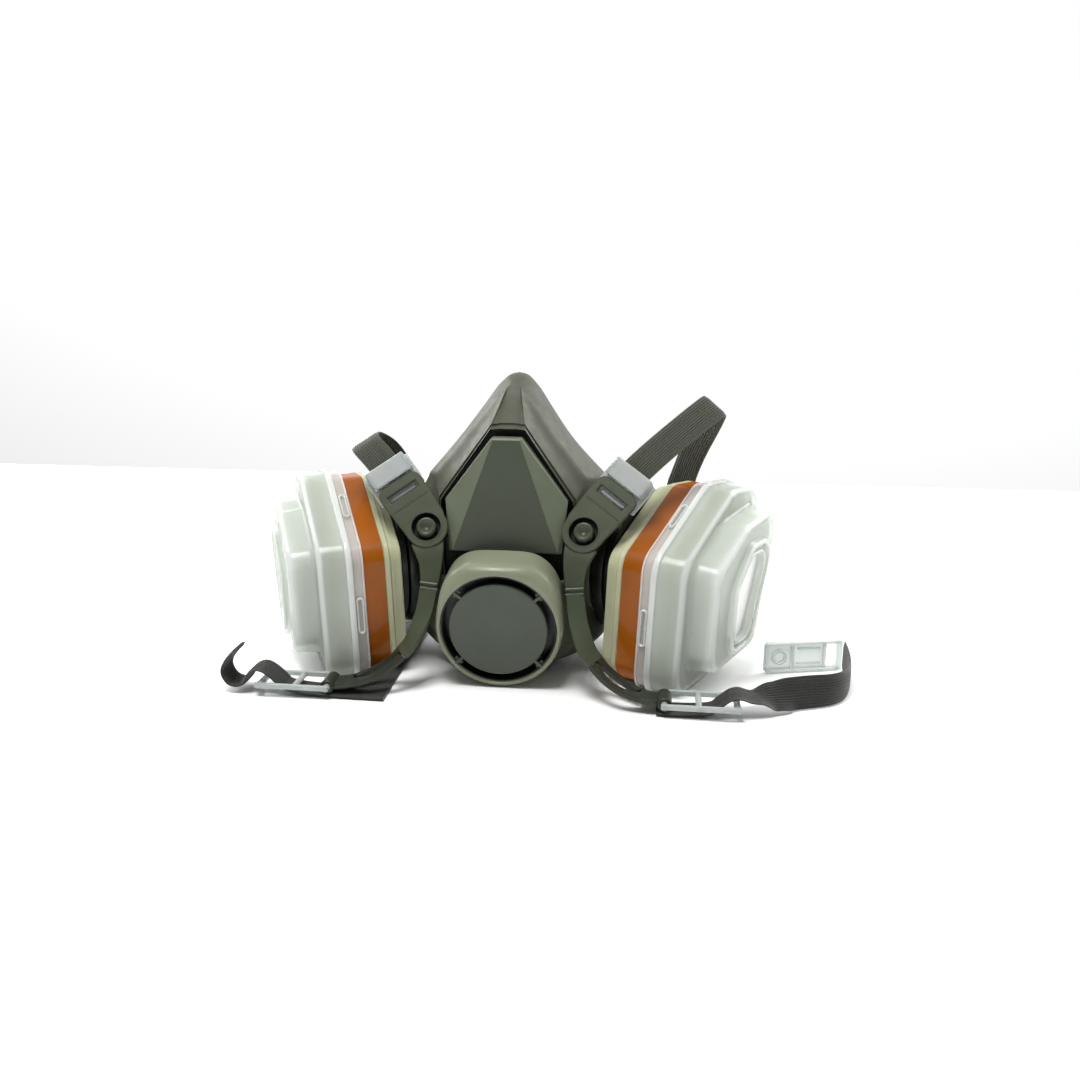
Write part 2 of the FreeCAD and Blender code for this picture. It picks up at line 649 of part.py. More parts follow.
# web that joins the arm to the ring around the exhalation seat
WEB_STATIONS = [((17.5, 5.0, 35.0), (0.0, -0.7, 4.5)), ((26.8, 4.2, 38.0), (0.0, -0.7, 4.5)),
                ((28.9, -2.0, 39.5), (0.0, 0.6, 4.5))]
# pin of the lower buckle
LOWER_PIN = (64.4, -23.4, 4.4)


def side_axes():
    """Local z along the lower buckle's pin, which lies across the strap."""
    return axes(at(*LOWER_PIN), Vector(1, 0, 0), Vector(0, -1, 0))


def stations(table):
    return [(at(*centre), Vector(*wide)) for centre, wide in table]


def build_yoke():
    """The harness yoke: a ring round the exhalation seat with two arms on each side."""
    thick = dim("arm_thick")
    whole = PLATE_OUTLINE + [(-x, y) for x, y in reversed(PLATE_OUTLINE)]
    points = [PLATE.multVec(Vector(x, y, -thick / 2)) for x, y in whole]
    outline = Part.Face(Part.makePolygon(points + points[:1]))
    plate = outline.extrude(PLATE_NORMAL * thick)
    arm = ribbon(stations(ARM_STATIONS), thick)
    web = ribbon(stations(WEB_STATIONS), thick)
    pin_axes = side_axes()
    knuckle = rod(pin_axes, 2.7, -5.2, 5.2)
    level = -dim("seat_flange_back") - 0.1
    band = rod(EXHALE, dim("yoke_ring"), level - thick - 0.2, level)
    both = both_sides(plate.fuse([arm, web, knuckle]))
    long, high = dim("slot_long") / 2, dim("slot_high") / 2
    slot = Part.makeBox(2 * long, 2 * high, 8, Vector(-long, -high, -4))
    slot.Placement = PLATE
    tools = both_sides(slot) + both_sides(rod(STUD, dim("stud_hole"), -6, 6))
    tools += both_sides(rod(pin_axes, 1.55, -20, 20))
    tools.append(rod(EXHALE, dim("yoke_bore"), -40, 10))
    yoke = band.fuse(both).cut(tools)
    node(solid(max(yoke.Solids, key=lambda s: s.Volume), "yoke"), "harness_yoke")


def build_stud():
    """The moulded stud that the arm's hole drops over, with a dimple in its end."""
    post = cylinder("stud_post", STUD, "dims.stud_radius", "-9.0", "1.4")
    foot = cylinder("stud_foot", STUD, "dims.stud_radius + 2.6", "-7.6", "-3.0")
    dimple = cylinder("stud_dimple", STUD, "dims.stud_radius / 2", "0.2", "3")
    pair(cut("stud_whole", fuse("stud_solid", post, foot), dimple), "harness_stud")


def build_upper_buckle():
    """A plate above the arm's end and a flange behind it, with a bar that hooks in the slot."""
    front = block("buckle_front", PLATE, (0, 10.5, 1.6), ("dims.buckle_wide", "8.2", "1.6"))
    flange = block("buckle_flange", PLATE, (0, 7.2, -2.9), ("dims.buckle_wide + 3", "14.4", "1.6"))
    web = block("buckle_web", PLATE, (0, 0, -1.6), ("dims.slot_long - 1.4", "1.6", "3.6"))
    along = PLATE.multiply(Placement(Vector(), Rotation(Vector(0, 1, 0), 90)))
    bar = cylinder("buckle_bar", along, "0.9", "0.7 - dims.slot_long / 2",
                   "dims.slot_long / 2 - 0.7")
    rails = [block(f"buckle_rail{i}", PLATE, (side * 8.1, 10.6, -0.6), ("1.8", "8.0", "6.0"))
             for i, side in enumerate((-1, 1))]
    pair(fuse("buckle_solid", front, flange, web, bar, *rails), "upper_buckle")


def build_lower_buckle():
    """A ladder buckle: two rails and three round bars, the first one in the arm's knuckle."""
    pin_axes = side_axes()
    rails = [block(f"lower_rail{i}", pin_axes, (13.4, 0.2, side * 7.4), ("29.4", "2.2", "1.4"))
             for i, side in enumerate((-1, 1))]
    bars = []
    for i, (reach, radius) in enumerate(((0, 1.35), (12.6, 1.2), (26.6, 1.3))):
        spot = pin_axes.multiply(Placement(Vector(reach, 0, 0), Rotation()))
        bars.append(cylinder(f"lower_bar{i}", spot, str(radius), "-7.6", "7.6"))
    ear = [cylinder(f"lower_ear{i}", pin_axes, "2.0", f"{low}", f"{low} + 1.4")
           for i, low in enumerate((-8.1, 6.7))]
    pair(fuse("lower_buckle", *rails, *bars, *ear), "lower_buckle")


SLOT_WAY, FOLD_WAY = (0.777, -0.362, -0.508), (0.71, -0.40, -0.58)
FLOOR_WAY, EDGE_WAY, ACROSS = (0, 1, 0), (0, 0, 1), (1, 0, 0)
STRAPS = {
    "upper_strap_right": [
        (45.9, 13.4, 78.4, SLOT_WAY), (51.5, 16.4, 85.0, SLOT_WAY), (84, 40, 109.5, FOLD_WAY),
        (72, 72, 78, FOLD_WAY), (66, 86, 46, (0.9, 0.3, -0.2)), (63, 93, 15.8, ACROSS)],
    "upper_strap_left": [
        (-45.9, 13.4, 78.4, (-0.777, -0.362, -0.508)), (-51.5, 16.4, 85.0, (-0.777, -0.362, -0.508)),
        (-63.5, 24, 94, (-0.76, -0.4, -0.5)), (-53.5, 48, 84, (-0.95, 0.1, -0.3)),
        (-54, 74, 52, (-0.95, 0.1, -0.2)), (-63, 93, 15.8, (-1, 0, 0))],
    "neck_strap_right": [
        (61.5, -23.3, 0.8, FLOOR_WAY), (81, -23.3, 0.8, FLOOR_WAY), (84.4, -23.3, 4.6, FLOOR_WAY),
        (90, -23.3, 9.0, FLOOR_WAY), (97.5, -21, 6.0, FLOOR_WAY), (105, -18, 5.8, (0, 0.8, 0.6)),
        (114, -15, 6.7, (0, 0.3, 1)), (132, -9, 6.8, EDGE_WAY), (137.5, 12, 6.7, EDGE_WAY),
        (137.6, 28.5, 6.7, EDGE_WAY)],
    "neck_strap_left": [
        (-101, -23.3, 17, FLOOR_WAY), (-107.5, -23.3, 11, FLOOR_WAY), (-105, -23.3, 3.4, FLOOR_WAY),
        (-98.5, -23.3, 2.6, FLOOR_WAY), (-95.8, -23.3, 8.6, FLOOR_WAY), (-91, -23.3, 10.6, FLOOR_WAY),
        (-84.6, -23.3, 5.8, FLOOR_WAY), (-80.6, -23.3, 0.8, FLOOR_WAY), (-42, -23.3, 0.8, FLOOR_WAY)],
    "neck_strap_lead": [
        (-48.4, -19.6, 0.84, ACROSS), (-48.4, 20, 0.84, ACROSS), (-48.4, 63.8, 0.84, ACROSS)],
}


def build_straps():
    """The four elastic straps; the left neck strap turns a flat corner beyond its arm."""
    shapes = {}
    for name, corners in STRAPS.items():
        shapes[name], length, radius = strap(corners, dim("strap_thick"))
        print(f"{name}: {length:.1f} mm long, tightest bend {radius:.1f} mm")
    shapes["neck_strap_left"] = shapes["neck_strap_left"].fuse(shapes.pop("neck_strap_lead"))
    for name, shape in shapes.items():
        node(solid(shape, name), name)


def build_cradle():
    """The crown cradle: two moulded bands joined at their ends and by a bar between them."""
    outer = [(-63, 93, 12.8), (-58, 110, 3.0), (-34, 127, 1.4), (34, 127, 1.4), (58, 110, 3.0),
             (63, 93, 12.8)]
    inner = [(-63, 93, 12.8), (-48, 99, 4.4), (-26, 102, 1.4), (26, 102, 1.4), (48, 99, 4.4),
             (63, 93, 12.8)]
    bands = []
    for corners in (outer, inner):
        points = [at(*c) for c in corners]
        wide = []
        for i, _ in enumerate(points):
            along = points[min(i + 1, 5)] - points[max(i - 1, 0)]
            wide.append(Vector(-along.y, along.x, 0).normalize() * 6.0)
        bands.append(ribbon(blend(points, wide), 1.8))
    bar = Part.makeBox(12, 21, 1.8, at(-6, 104, 0.5))
    ends = both_sides(Part.makeBox(15, 9, 1.8, at(55.5, 88.5, 12.0)))
    whole = bands[0].fuse([bands[1], bar] + ends)
    node(solid(whole, "cradle"), "head_cradle")


CLASP_END, CLASP_TIP = (136.6, 30.4, 6.9), (103.6, 21.0, 6.9)
# middle of the rounded end of the loop plate, which its strap goes round
LOOP_BAR = (-48.4, 66.4, 1.7)


def clasp_axes():
    """Local x from the clasp's strap bar to its tip, y through it, z up."""
    start, tip = at(*CLASP_END), at(*CLASP_TIP)
    return axes(start, (tip - start).normalize(), Vector(0, 0, 1))


def build_clasps():
    """The neck clasp: a hook plate on the right strap and a loop plate on the left one."""
    place = clasp_axes()
    plate = block("hook_plate", place, (16.5, 0, 0), ("33", "dims.clasp_thick", "12.6"))
    bar = cylinder("hook_bar", place, "dims.clasp_thick / 2", "-6.3", "6.3")
    panel = block("hook_panel", place, (17, -1.4, 0), ("17", "1.2", "8.6"))
    boss = cylinder("hook_boss", place.multiply(Placement(Vector(28.5, -1.6, 0),
                    Rotation(Vector(1, 0, 0), 90))), "3.4", "-0.8", "0.8")
    hook = fuse("hook_solid", cut("hook_cut", plate, panel), boss, bar)
    slot = block("hook_slot", place, (4.4, 0, 0), ("2.6", "8", "10"))
    node(cut("hook_whole", hook, slot), "clasp_hook")
    flat = Placement(at(*LOOP_BAR), Rotation())
    loop = block("loop_plate", flat, (0, 11.3, 0), ("20", "22.6", "dims.clasp_thick"))
    bar = Placement(at(*LOOP_BAR) + Vector(-10, 0, 0), Rotation(Vector(0, 1, 0), 90))
    loop = fuse("loop_solid", loop, cylinder("loop_bar", bar, "dims.clasp_thick / 2", "0", "20"))
    strap_slot = block("loop_slot", flat, (0, 2.9, 0), ("14", "2.6", "5"))
    hook_slot = block("loop_mouth", flat, (0, 13.4, 0), ("13.4", "11", "5"))
    node(cut("loop_whole", loop, fuse("loop_cuts", strap_slot, hook_slot)), "clasp_loop")


def build_all():
    build_adapter()
    build_exhalation()
    build_cover()
    build_port()
    build_cartridge()
    build_filter()
    build_retainer()
    build_yoke()
    build_stud()
    build_upper_buckle()
    build_lower_buckle()
    build_straps()
    build_cradle()
    build_clasps()
    build_face_seal()


def check_all():
    doc.recompute()
    bad = [o.Label for o in doc.Objects if "Invalid" in o.State or "Error" in o.State]
    bad += [o.Label for o in NODES if o.Shape.isNull() or not o.Shape.isValid()]
    if bad:
        raise RuntimeError(f"broken sub-parts: {bad}")


build_all()
check_all()
os.makedirs("parts", exist_ok=True)
for sub_part in NODES:
    sub_part.Shape.exportStep(f"parts/{sub_part.Label}.step")
box = FreeCAD.BoundBox()
for sub_part in NODES:
    box.add(sub_part.Shape.BoundBox)
    print(f"{sub_part.Label}: {sub_part.Shape.Volume:.0f} mm3, {len(sub_part.Shape.Solids)} solids")
print(box)
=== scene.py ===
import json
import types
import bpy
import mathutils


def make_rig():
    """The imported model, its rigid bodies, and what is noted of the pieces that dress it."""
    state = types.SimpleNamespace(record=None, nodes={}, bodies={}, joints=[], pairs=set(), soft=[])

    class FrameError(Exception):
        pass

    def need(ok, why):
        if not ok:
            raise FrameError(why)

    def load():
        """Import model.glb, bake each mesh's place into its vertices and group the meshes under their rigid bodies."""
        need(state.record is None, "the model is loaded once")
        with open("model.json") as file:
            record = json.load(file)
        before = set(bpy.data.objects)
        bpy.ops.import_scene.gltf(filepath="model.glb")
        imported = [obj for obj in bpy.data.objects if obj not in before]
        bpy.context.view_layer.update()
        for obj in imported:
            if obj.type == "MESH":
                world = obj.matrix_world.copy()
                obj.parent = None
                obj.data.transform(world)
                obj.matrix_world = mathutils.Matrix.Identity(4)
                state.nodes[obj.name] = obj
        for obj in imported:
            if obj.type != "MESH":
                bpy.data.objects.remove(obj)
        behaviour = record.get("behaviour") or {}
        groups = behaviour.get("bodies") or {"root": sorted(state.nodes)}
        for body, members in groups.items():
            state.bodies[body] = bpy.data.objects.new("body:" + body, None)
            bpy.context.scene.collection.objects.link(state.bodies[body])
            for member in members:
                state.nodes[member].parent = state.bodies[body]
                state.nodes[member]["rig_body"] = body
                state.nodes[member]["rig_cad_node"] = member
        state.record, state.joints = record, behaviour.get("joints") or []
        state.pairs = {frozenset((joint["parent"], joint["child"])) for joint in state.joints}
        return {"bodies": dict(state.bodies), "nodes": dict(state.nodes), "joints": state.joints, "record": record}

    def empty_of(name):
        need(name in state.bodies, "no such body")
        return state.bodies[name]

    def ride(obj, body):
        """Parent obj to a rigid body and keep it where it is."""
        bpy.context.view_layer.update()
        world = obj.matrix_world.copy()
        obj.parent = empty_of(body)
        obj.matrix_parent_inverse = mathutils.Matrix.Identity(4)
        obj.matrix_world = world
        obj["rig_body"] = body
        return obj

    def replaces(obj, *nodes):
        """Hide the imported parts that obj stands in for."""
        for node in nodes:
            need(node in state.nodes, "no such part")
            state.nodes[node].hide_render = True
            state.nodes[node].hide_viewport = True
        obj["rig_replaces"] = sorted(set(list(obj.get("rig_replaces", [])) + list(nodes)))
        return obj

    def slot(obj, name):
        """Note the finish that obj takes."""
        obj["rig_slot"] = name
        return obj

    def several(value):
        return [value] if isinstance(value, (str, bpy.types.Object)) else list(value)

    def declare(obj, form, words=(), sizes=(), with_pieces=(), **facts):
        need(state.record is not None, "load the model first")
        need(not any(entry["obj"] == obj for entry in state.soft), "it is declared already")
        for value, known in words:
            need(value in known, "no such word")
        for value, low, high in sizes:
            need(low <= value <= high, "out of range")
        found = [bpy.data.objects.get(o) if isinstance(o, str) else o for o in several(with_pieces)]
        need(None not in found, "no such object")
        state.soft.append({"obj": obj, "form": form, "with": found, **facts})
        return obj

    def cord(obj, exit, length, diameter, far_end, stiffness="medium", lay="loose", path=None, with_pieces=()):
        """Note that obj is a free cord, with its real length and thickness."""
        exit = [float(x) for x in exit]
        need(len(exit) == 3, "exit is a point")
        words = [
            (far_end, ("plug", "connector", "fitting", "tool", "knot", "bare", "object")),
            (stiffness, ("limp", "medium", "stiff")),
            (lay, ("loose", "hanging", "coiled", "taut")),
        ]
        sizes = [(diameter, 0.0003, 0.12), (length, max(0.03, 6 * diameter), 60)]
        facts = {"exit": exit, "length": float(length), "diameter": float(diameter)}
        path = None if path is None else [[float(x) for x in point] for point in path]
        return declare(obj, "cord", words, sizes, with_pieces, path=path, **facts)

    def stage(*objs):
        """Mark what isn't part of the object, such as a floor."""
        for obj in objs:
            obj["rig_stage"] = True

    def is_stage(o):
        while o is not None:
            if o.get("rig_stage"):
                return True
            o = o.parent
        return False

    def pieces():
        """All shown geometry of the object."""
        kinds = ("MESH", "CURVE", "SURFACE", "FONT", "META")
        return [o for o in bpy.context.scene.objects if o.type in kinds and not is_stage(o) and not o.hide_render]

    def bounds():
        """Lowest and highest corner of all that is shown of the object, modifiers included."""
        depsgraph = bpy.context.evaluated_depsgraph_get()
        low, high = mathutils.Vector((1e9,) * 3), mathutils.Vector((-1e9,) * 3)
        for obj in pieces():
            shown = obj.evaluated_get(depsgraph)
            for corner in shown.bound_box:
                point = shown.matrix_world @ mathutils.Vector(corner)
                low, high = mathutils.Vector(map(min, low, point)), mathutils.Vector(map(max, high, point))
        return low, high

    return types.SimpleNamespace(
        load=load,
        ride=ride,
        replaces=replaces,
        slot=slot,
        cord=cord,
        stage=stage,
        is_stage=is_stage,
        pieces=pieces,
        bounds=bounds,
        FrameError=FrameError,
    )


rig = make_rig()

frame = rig.load()

import json
import math

import bmesh
import bpy
from mathutils import Matrix, Vector

LOADED = [list(corner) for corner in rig.bounds()]

# Sizes below are millimetres in the part's own layout: x to the right, y back from the front datum
# plane, z up from the ground. SETBACK is how far that plane lies in front of the origin.
SETBACK = 17.95
SIDES = (("right", 1), ("left", -1))

# Where the right-hand port, the exhalation valve and the arm's end plate are, and how they lean.
PORT_AT, PORT_YAW, PORT_PITCH = (54.1, 32.2, 42.0), 24.0, 2.5
VALVE_AT, VALVE_TILT = (0, -13.0, 25.0), 8.7
PLATE_AT, PLATE_NORMAL = (41.8, 11.1, 73.5), (-0.09, -0.87, 0.48)
SLOT_WAY, LEFT_SLOT_WAY = (0.777, -0.362, -0.508), (-0.777, -0.362, -0.508)
STUD_AT, STUD_HOLE, FOOT_ROUND = (0.4, -17.4), 5.9, 8.6
PORT_BORE, PORT_BORE_ENDS = 18.6, (-34.0, 4.0)
EDGE_ANGLE = 34
STRAP_WIDTH, STRAP_THICK, STRAP_RIBS = 12.5, 1.3, 12
FRAME_PIXELS, PIXELS_PER_MM, CAMERA_REACH, SENSOR = 1080, 2.56, 420, 36.0


# ---------------------------------------------------------------- materials

def shader(name):
    material = bpy.data.materials.new(name)
    material.use_nodes = True
    tree = material.node_tree
    return material, tree, tree.nodes["Principled BSDF"]


def wire(tree, source, target):
    tree.links.new(source, target)


def put(node, values):
    """Sets a node's inputs by name."""
    for name, value in values.items():
        node.inputs[name].default_value = value


def noise(tree, scale, detail=4.0, stretch=(1, 1, 1)):
    """Noise over object coordinates in metres, stretched along the axes."""
    where = tree.nodes.new("ShaderNodeTexCoord")
    mapping = tree.nodes.new("ShaderNodeMapping")
    mapping.inputs["Scale"].default_value = stretch
    wire(tree, where.outputs["Object"], mapping.inputs["Vector"])
    texture = tree.nodes.new("ShaderNodeTexNoise")
    put(texture, {"Scale": scale, "Detail": detail})
    wire(tree, mapping.outputs["Vector"], texture.inputs["Vector"])
    return texture.outputs["Fac"]


def ramp(tree, factor, low, high, start=0.3, end=0.7):
    node = tree.nodes.new("ShaderNodeValToRGB")
    stops = node.color_ramp.elements
    stops[0].position, stops[1].position = start, end
    stops[0].color = (*low, 1) if len(low) == 3 else low
    stops[1].color = (*high, 1) if len(high) == 3 else high
    wire(tree, factor, node.inputs["Fac"])
    return node.outputs["Color"]


def bump(tree, surface, height, strength, distance):
    node = tree.nodes.new("ShaderNodeBump")
    put(node, {"Strength": strength, "Distance": distance})
    wire(tree, height, node.inputs["Height"])
    wire(tree, node.outputs["Normal"], surface.inputs["Normal"])


def shades(colour, spread):
    return [c * (1 - spread) for c in colour], [min(1, c * (1 + spread)) for c in colour]


def moulded(name, colour, roughness, grain=1600.0, depth=0.00002):
    """Moulded plastic or rubber: faint cloudy shade, uneven gloss and a fine grain."""
    material, tree, surface = shader(name)
    dark, light = shades(colour, 0.07)
    wire(tree, ramp(tree, noise(tree, 60.0), dark, light), surface.inputs["Base Color"])
    gloss = ramp(tree, noise(tree, 220.0), (roughness - 0.05,) * 3, (roughness + 0.07,) * 3)
    wire(tree, gloss, surface.inputs["Roughness"])
    surface.inputs["Specular IOR Level"].default_value = 0.32
    bump(tree, surface, noise(tree, grain, 2.0), 0.35, depth)
    return material


def frosted(name, colour, clear, roughness, rim=0.93):
    """Milky translucent plastic: partly see-through, with light that scatters inside it, and a painted highlight along
    its edges.
    """
    material, tree, surface = shader(name)
    dark, light = shades(colour, 0.05)
    cloud = ramp(tree, noise(tree, 40.0), dark, light)
    # Pointiness finds the edges: there the colour goes toward a near-white rim grey, a painted highlight, and the
    # plastic is made less clear, as where thicker plastic stacks up.
    shape = tree.nodes.new("ShaderNodeNewGeometry")
    edge = ramp(tree, shape.outputs["Pointiness"], (0, 0, 0), (1, 1, 1), 0.505, 0.55)
    edge_highlight_mix = tree.nodes.new("ShaderNodeMixRGB")
    edge_highlight_mix.inputs["Color2"].default_value = (rim, rim * 1.02, rim, 1)
    wire(tree, edge, edge_highlight_mix.inputs["Fac"])
    wire(tree, cloud, edge_highlight_mix.inputs["Color1"])
    wire(tree, edge_highlight_mix.outputs["Color"], surface.inputs["Base Color"])
    gloss = ramp(tree, noise(tree, 160.0), (roughness - 0.06,) * 3, (roughness + 0.08,) * 3)
    wire(tree, gloss, surface.inputs["Roughness"])
    put(surface, {"Subsurface Weight": 0.35, "Subsurface Radius": (0.004, 0.004, 0.004),
                  "Subsurface Scale": 1.0, "Coat Weight": 0.35, "Coat Roughness": 0.12})
    bump(tree, surface, noise(tree, 500.0, 2.0), 0.2, 0.00003)
    pane = tree.nodes.new("ShaderNodeBsdfTransparent")
    pane.inputs["Color"].default_value = (0.93, 0.95, 0.94, 1)
    glow = tree.nodes.new("ShaderNodeBsdfTranslucent")
    glow.inputs["Color"].default_value = (*colour, 1)
    body = tree.nodes.new("ShaderNodeMixShader")
    body.inputs["Fac"].default_value = 0.35
    wire(tree, surface.outputs["BSDF"], body.inputs[1])
    wire(tree, glow.outputs["BSDF"], body.inputs[2])
    mix = tree.nodes.new("ShaderNodeMixShader")
    wire(tree, ramp(tree, edge, (clear,) * 3, (clear * 0.5,) * 3), mix.inputs["Fac"])
    wire(tree, body.outputs["Shader"], mix.inputs[1])
    wire(tree, pane.outputs["BSDF"], mix.inputs[2])
    wire(tree, mix.outputs["Shader"], tree.nodes["Material Output"].inputs["Surface"])
    return material


def woven(name, colour):
    """Elastic webbing: the ribs are modelled, and the cross threads are a bump along the strap."""
    material, tree, surface = shader(name)
    where = tree.nodes.new("ShaderNodeTexCoord")
    threads = tree.nodes.new("ShaderNodeTexWave")
    threads.bands_direction = "X"
    put(threads, {"Scale": 55.0, "Distortion": 1.5, "Detail": 2.0})
    wire(tree, where.outputs["UV"], threads.inputs["Vector"])
    ribs = tree.nodes.new("ShaderNodeTexWave")
    ribs.bands_direction = "Y"
    put(ribs, {"Scale": 35.0, "Distortion": 0.6})
    wire(tree, where.outputs["UV"], ribs.inputs["Vector"])
    weave_and_painted_shade = tree.nodes.new("ShaderNodeMath")
    weave_and_painted_shade.operation = "MULTIPLY"
    wire(tree, threads.outputs["Fac"], weave_and_painted_shade.inputs[0])
    wire(tree, ribs.outputs["Fac"], weave_and_painted_shade.inputs[1])
    # The colour follows the ribs and threads, darker between them and lighter on them: partly the weave, partly
    # painted shade in the gaps and painted highlight on the crests.
    dark, light = shades(colour, 0.6)
    wire(tree, ramp(tree, weave_and_painted_shade.outputs["Value"], dark, light, 0.0, 0.7),
         surface.inputs["Base Color"])
    put(surface, {"Roughness": 0.8, "Sheen Weight": 0.25})
    bump(tree, surface, threads.outputs["Fac"], 0.4, 0.00015)
    return material


def printed(name, colour):
    """Printed film round the cartridge: glossy, with an uneven warm tone."""
    material, tree, surface = shader(name)
    dark, light = shades(colour, 0.22)
    wire(tree, ramp(tree, noise(tree, 28.0, 3.0), dark, light), surface.inputs["Base Color"])
    put(surface, {"Roughness": 0.4, "Specular IOR Level": 0.1, "Coat Weight": 0.22,
                  "Coat Roughness": 0.06})
    bump(tree, surface, noise(tree, 90.0, 2.0), 0.25, 0.00015)
    return material


def fibrous(name, colour, scale, depth):
    material, tree, surface = shader(name)
    dark, light = shades(colour, 0.06)
    fibres = noise(tree, scale, 8.0, (1, 1, 0.35))
    wire(tree, ramp(tree, fibres, dark, light), surface.inputs["Base Color"])
    put(surface, {"Roughness": 0.95, "Sheen Weight": 0.3})
    bump(tree, surface, fibres, 0.8, depth)
    return material


SEAL = moulded("seal_elastomer", (0.048, 0.053, 0.031), 0.52, grain=2200.0)
GROOVE = moulded("groove_shade", (0.010, 0.011, 0.009), 0.55)
PANEL = moulded("panel_plastic", (0.050, 0.058, 0.040), 0.45, grain=2600.0)
# A lighter copy of the panel plastic: painted light on the panel faces that turn up and sideways.
LIT_FACET = moulded("facet_plastic", (0.110, 0.126, 0.086), 0.45, grain=2600.0)
COVER = moulded("cover_plastic", (0.175, 0.192, 0.128), 0.33)
DISC = moulded("disc_plastic", (0.054, 0.064, 0.048), 0.45, grain=2600.0)
YOKE = moulded("yoke_plastic", (0.045, 0.054, 0.032), 0.38)
# A darker copy of the yoke plastic for the arms' low ends: painted shade.
SHADED_TIP = moulded("yoke_tip_plastic", (0.020, 0.023, 0.015), 0.38)
# Black plastic for the inhalation ports, and painted shade elsewhere: the valve well, the stud wells and the port
# collars are black where shade falls.
BLACK_AND_SHADE = moulded("black_plastic", (0.006, 0.007, 0.005), 0.34)
FLAP = moulded("flap_rubber", (0.012, 0.013, 0.011), 0.30)
CREAM = moulded("cream_plastic", (0.37, 0.375, 0.235), 0.36)
LABEL = printed("label_film", (0.255, 0.066, 0.001))
CARBON = moulded("carbon_granules", (0.012, 0.012, 0.012), 0.6, grain=600.0, depth=0.0008)
FELT = fibrous("filter_felt", (0.86, 0.87, 0.85), 700.0, 0.0003)
# Each frosted material whitens its edges toward a rim grey as a painted highlight; the last value, where given, sets
# that grey.
RETAINER = frosted("retainer_plastic", (0.61, 0.640, 0.580), 0.50, 0.18)
LIP = frosted("lip_plastic", (0.84, 0.82, 0.80), 0.74, 0.16)
BUCKLE = frosted("buckle_plastic", (0.38, 0.48, 0.46), 0.50, 0.16, 0.62)
CLASP = frosted("clasp_plastic", (0.70, 0.76, 0.73), 0.72, 0.14, 0.80)
STRAP = woven("strap_webbing", (0.040, 0.045, 0.026))
NECK_STRAP = woven("neck_webbing", (0.013, 0.0145, 0.0095))
CRADLE = moulded("cradle_plastic", (0.066, 0.074, 0.050), 0.45)


# ---------------------------------------------------------------- mesh helpers

def sharpen(mesh, angle):
    """Marks edges sharper than angle, so that smooth shading stops at them."""
    shape = bmesh.new()
    shape.from_mesh(mesh)
    bmesh.ops.remove_doubles(shape, verts=shape.verts, dist=1e-7)
    bmesh.ops.recalc_face_normals(shape, faces=shape.faces)
    for face in shape.faces:
        face.smooth = True
    for edge in shape.edges:
        if len(edge.link_faces) == 2:
            edge.smooth = edge.calc_face_angle(0) < math.radians(angle)
    shape.to_mesh(mesh)
    shape.free()


def piece(name, points, faces, material, body, nodes=(), slot=None, angle=EDGE_ANGLE, bevel=0.0,
          uv=None):
    """A piece from points in millimetres, riding on a body and standing for some CAD nodes."""
    mesh = bpy.data.meshes.new(name)
    mesh.from_pydata([(x / 1000, (y - SETBACK) / 1000, z / 1000) for x, y, z in points], [],
                     faces)
    if uv is not None:
        layer = mesh.uv_layers.new(name="UVMap")
        for loop in mesh.loops:
            layer.data[loop.index].uv = uv[loop.vertex_index]
    sharpen(mesh, angle)
    mesh.materials.append(material)
    obj = bpy.data.objects.new(name, mesh)
    bpy.context.scene.collection.objects.link(obj)
    if bevel:
        edge = obj.modifiers.new("edges", "BEVEL")
        edge.width = bevel / 1000
        edge.segments = 2
        edge.limit_method = "ANGLE"
        edge.angle_limit = math.radians(EDGE_ANGLE)
        edge.harden_normals = True
    flat_faces = obj.modifiers.new("flat faces", "WEIGHTED_NORMAL")
    flat_faces.keep_sharp = True
    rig.ride(obj, body)
    if nodes:
        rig.replaces(obj, *nodes)
    if slot:
        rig.slot(obj, slot)
    return obj


def mirror(points, sign):
    return [(sign * x, y, z) for x, y, z in points]


def rings_to_faces(count, rings, cap_first=False, cap_last=False, loop=False):
    """Quads between rings of count points each, with optional caps or a closed loop of rings."""
    faces = []
    steps = rings if loop else rings - 1
    for r in range(steps):
        a, b = r * count, ((r + 1) % rings) * count
        for i in range(count):
            j = (i + 1) % count
            faces.append((a + i, a + j, b + j, b + i))
    if cap_first:
        faces.append(tuple(reversed(range(count))))
    if cap_last:
        faces.append(tuple((rings - 1) * count + i for i in range(count)))
    return faces


def flat(rings):
    return [point for ring in rings for point in ring]


def joined(parts):
    """Several (points, faces) lists as one."""
    points, faces = [], []
    for more_points, more_faces in parts:
        base = len(points)
        points += more_points
        faces += [tuple(base + i for i in face) for face in more_faces]
    return points, faces


def basis(origin, first, second, third):
    """Turns local (a, b, c) into a point, along three unit directions from origin."""
    def place(a, b, c):
        return tuple(origin[i] + first[i] * a + second[i] * b + third[i] * c for i in range(3))
    return place


def unit(vector):
    return Vector(vector).normalized()


def stack_place():
    """Local (back along the cartridge, up it, out along the port axis)."""
    yaw, pitch = math.radians(PORT_YAW), math.radians(PORT_PITCH)
    back = Vector((math.sin(yaw), math.cos(yaw), 0))
    out = Vector((math.cos(yaw) * math.cos(pitch), -math.sin(yaw) * math.cos(pitch),
                  -math.sin(pitch)))
    return basis(PORT_AT, back, out.cross(back), out)


def exhale_place():
    """Local (right, up the valve's face, out of the mask)."""
    tilt = math.radians(VALVE_TILT)
    out = Vector((0, -math.cos(tilt), -math.sin(tilt)))
    return basis(VALVE_AT, Vector((1, 0, 0)), out.cross(Vector((1, 0, 0))), out)


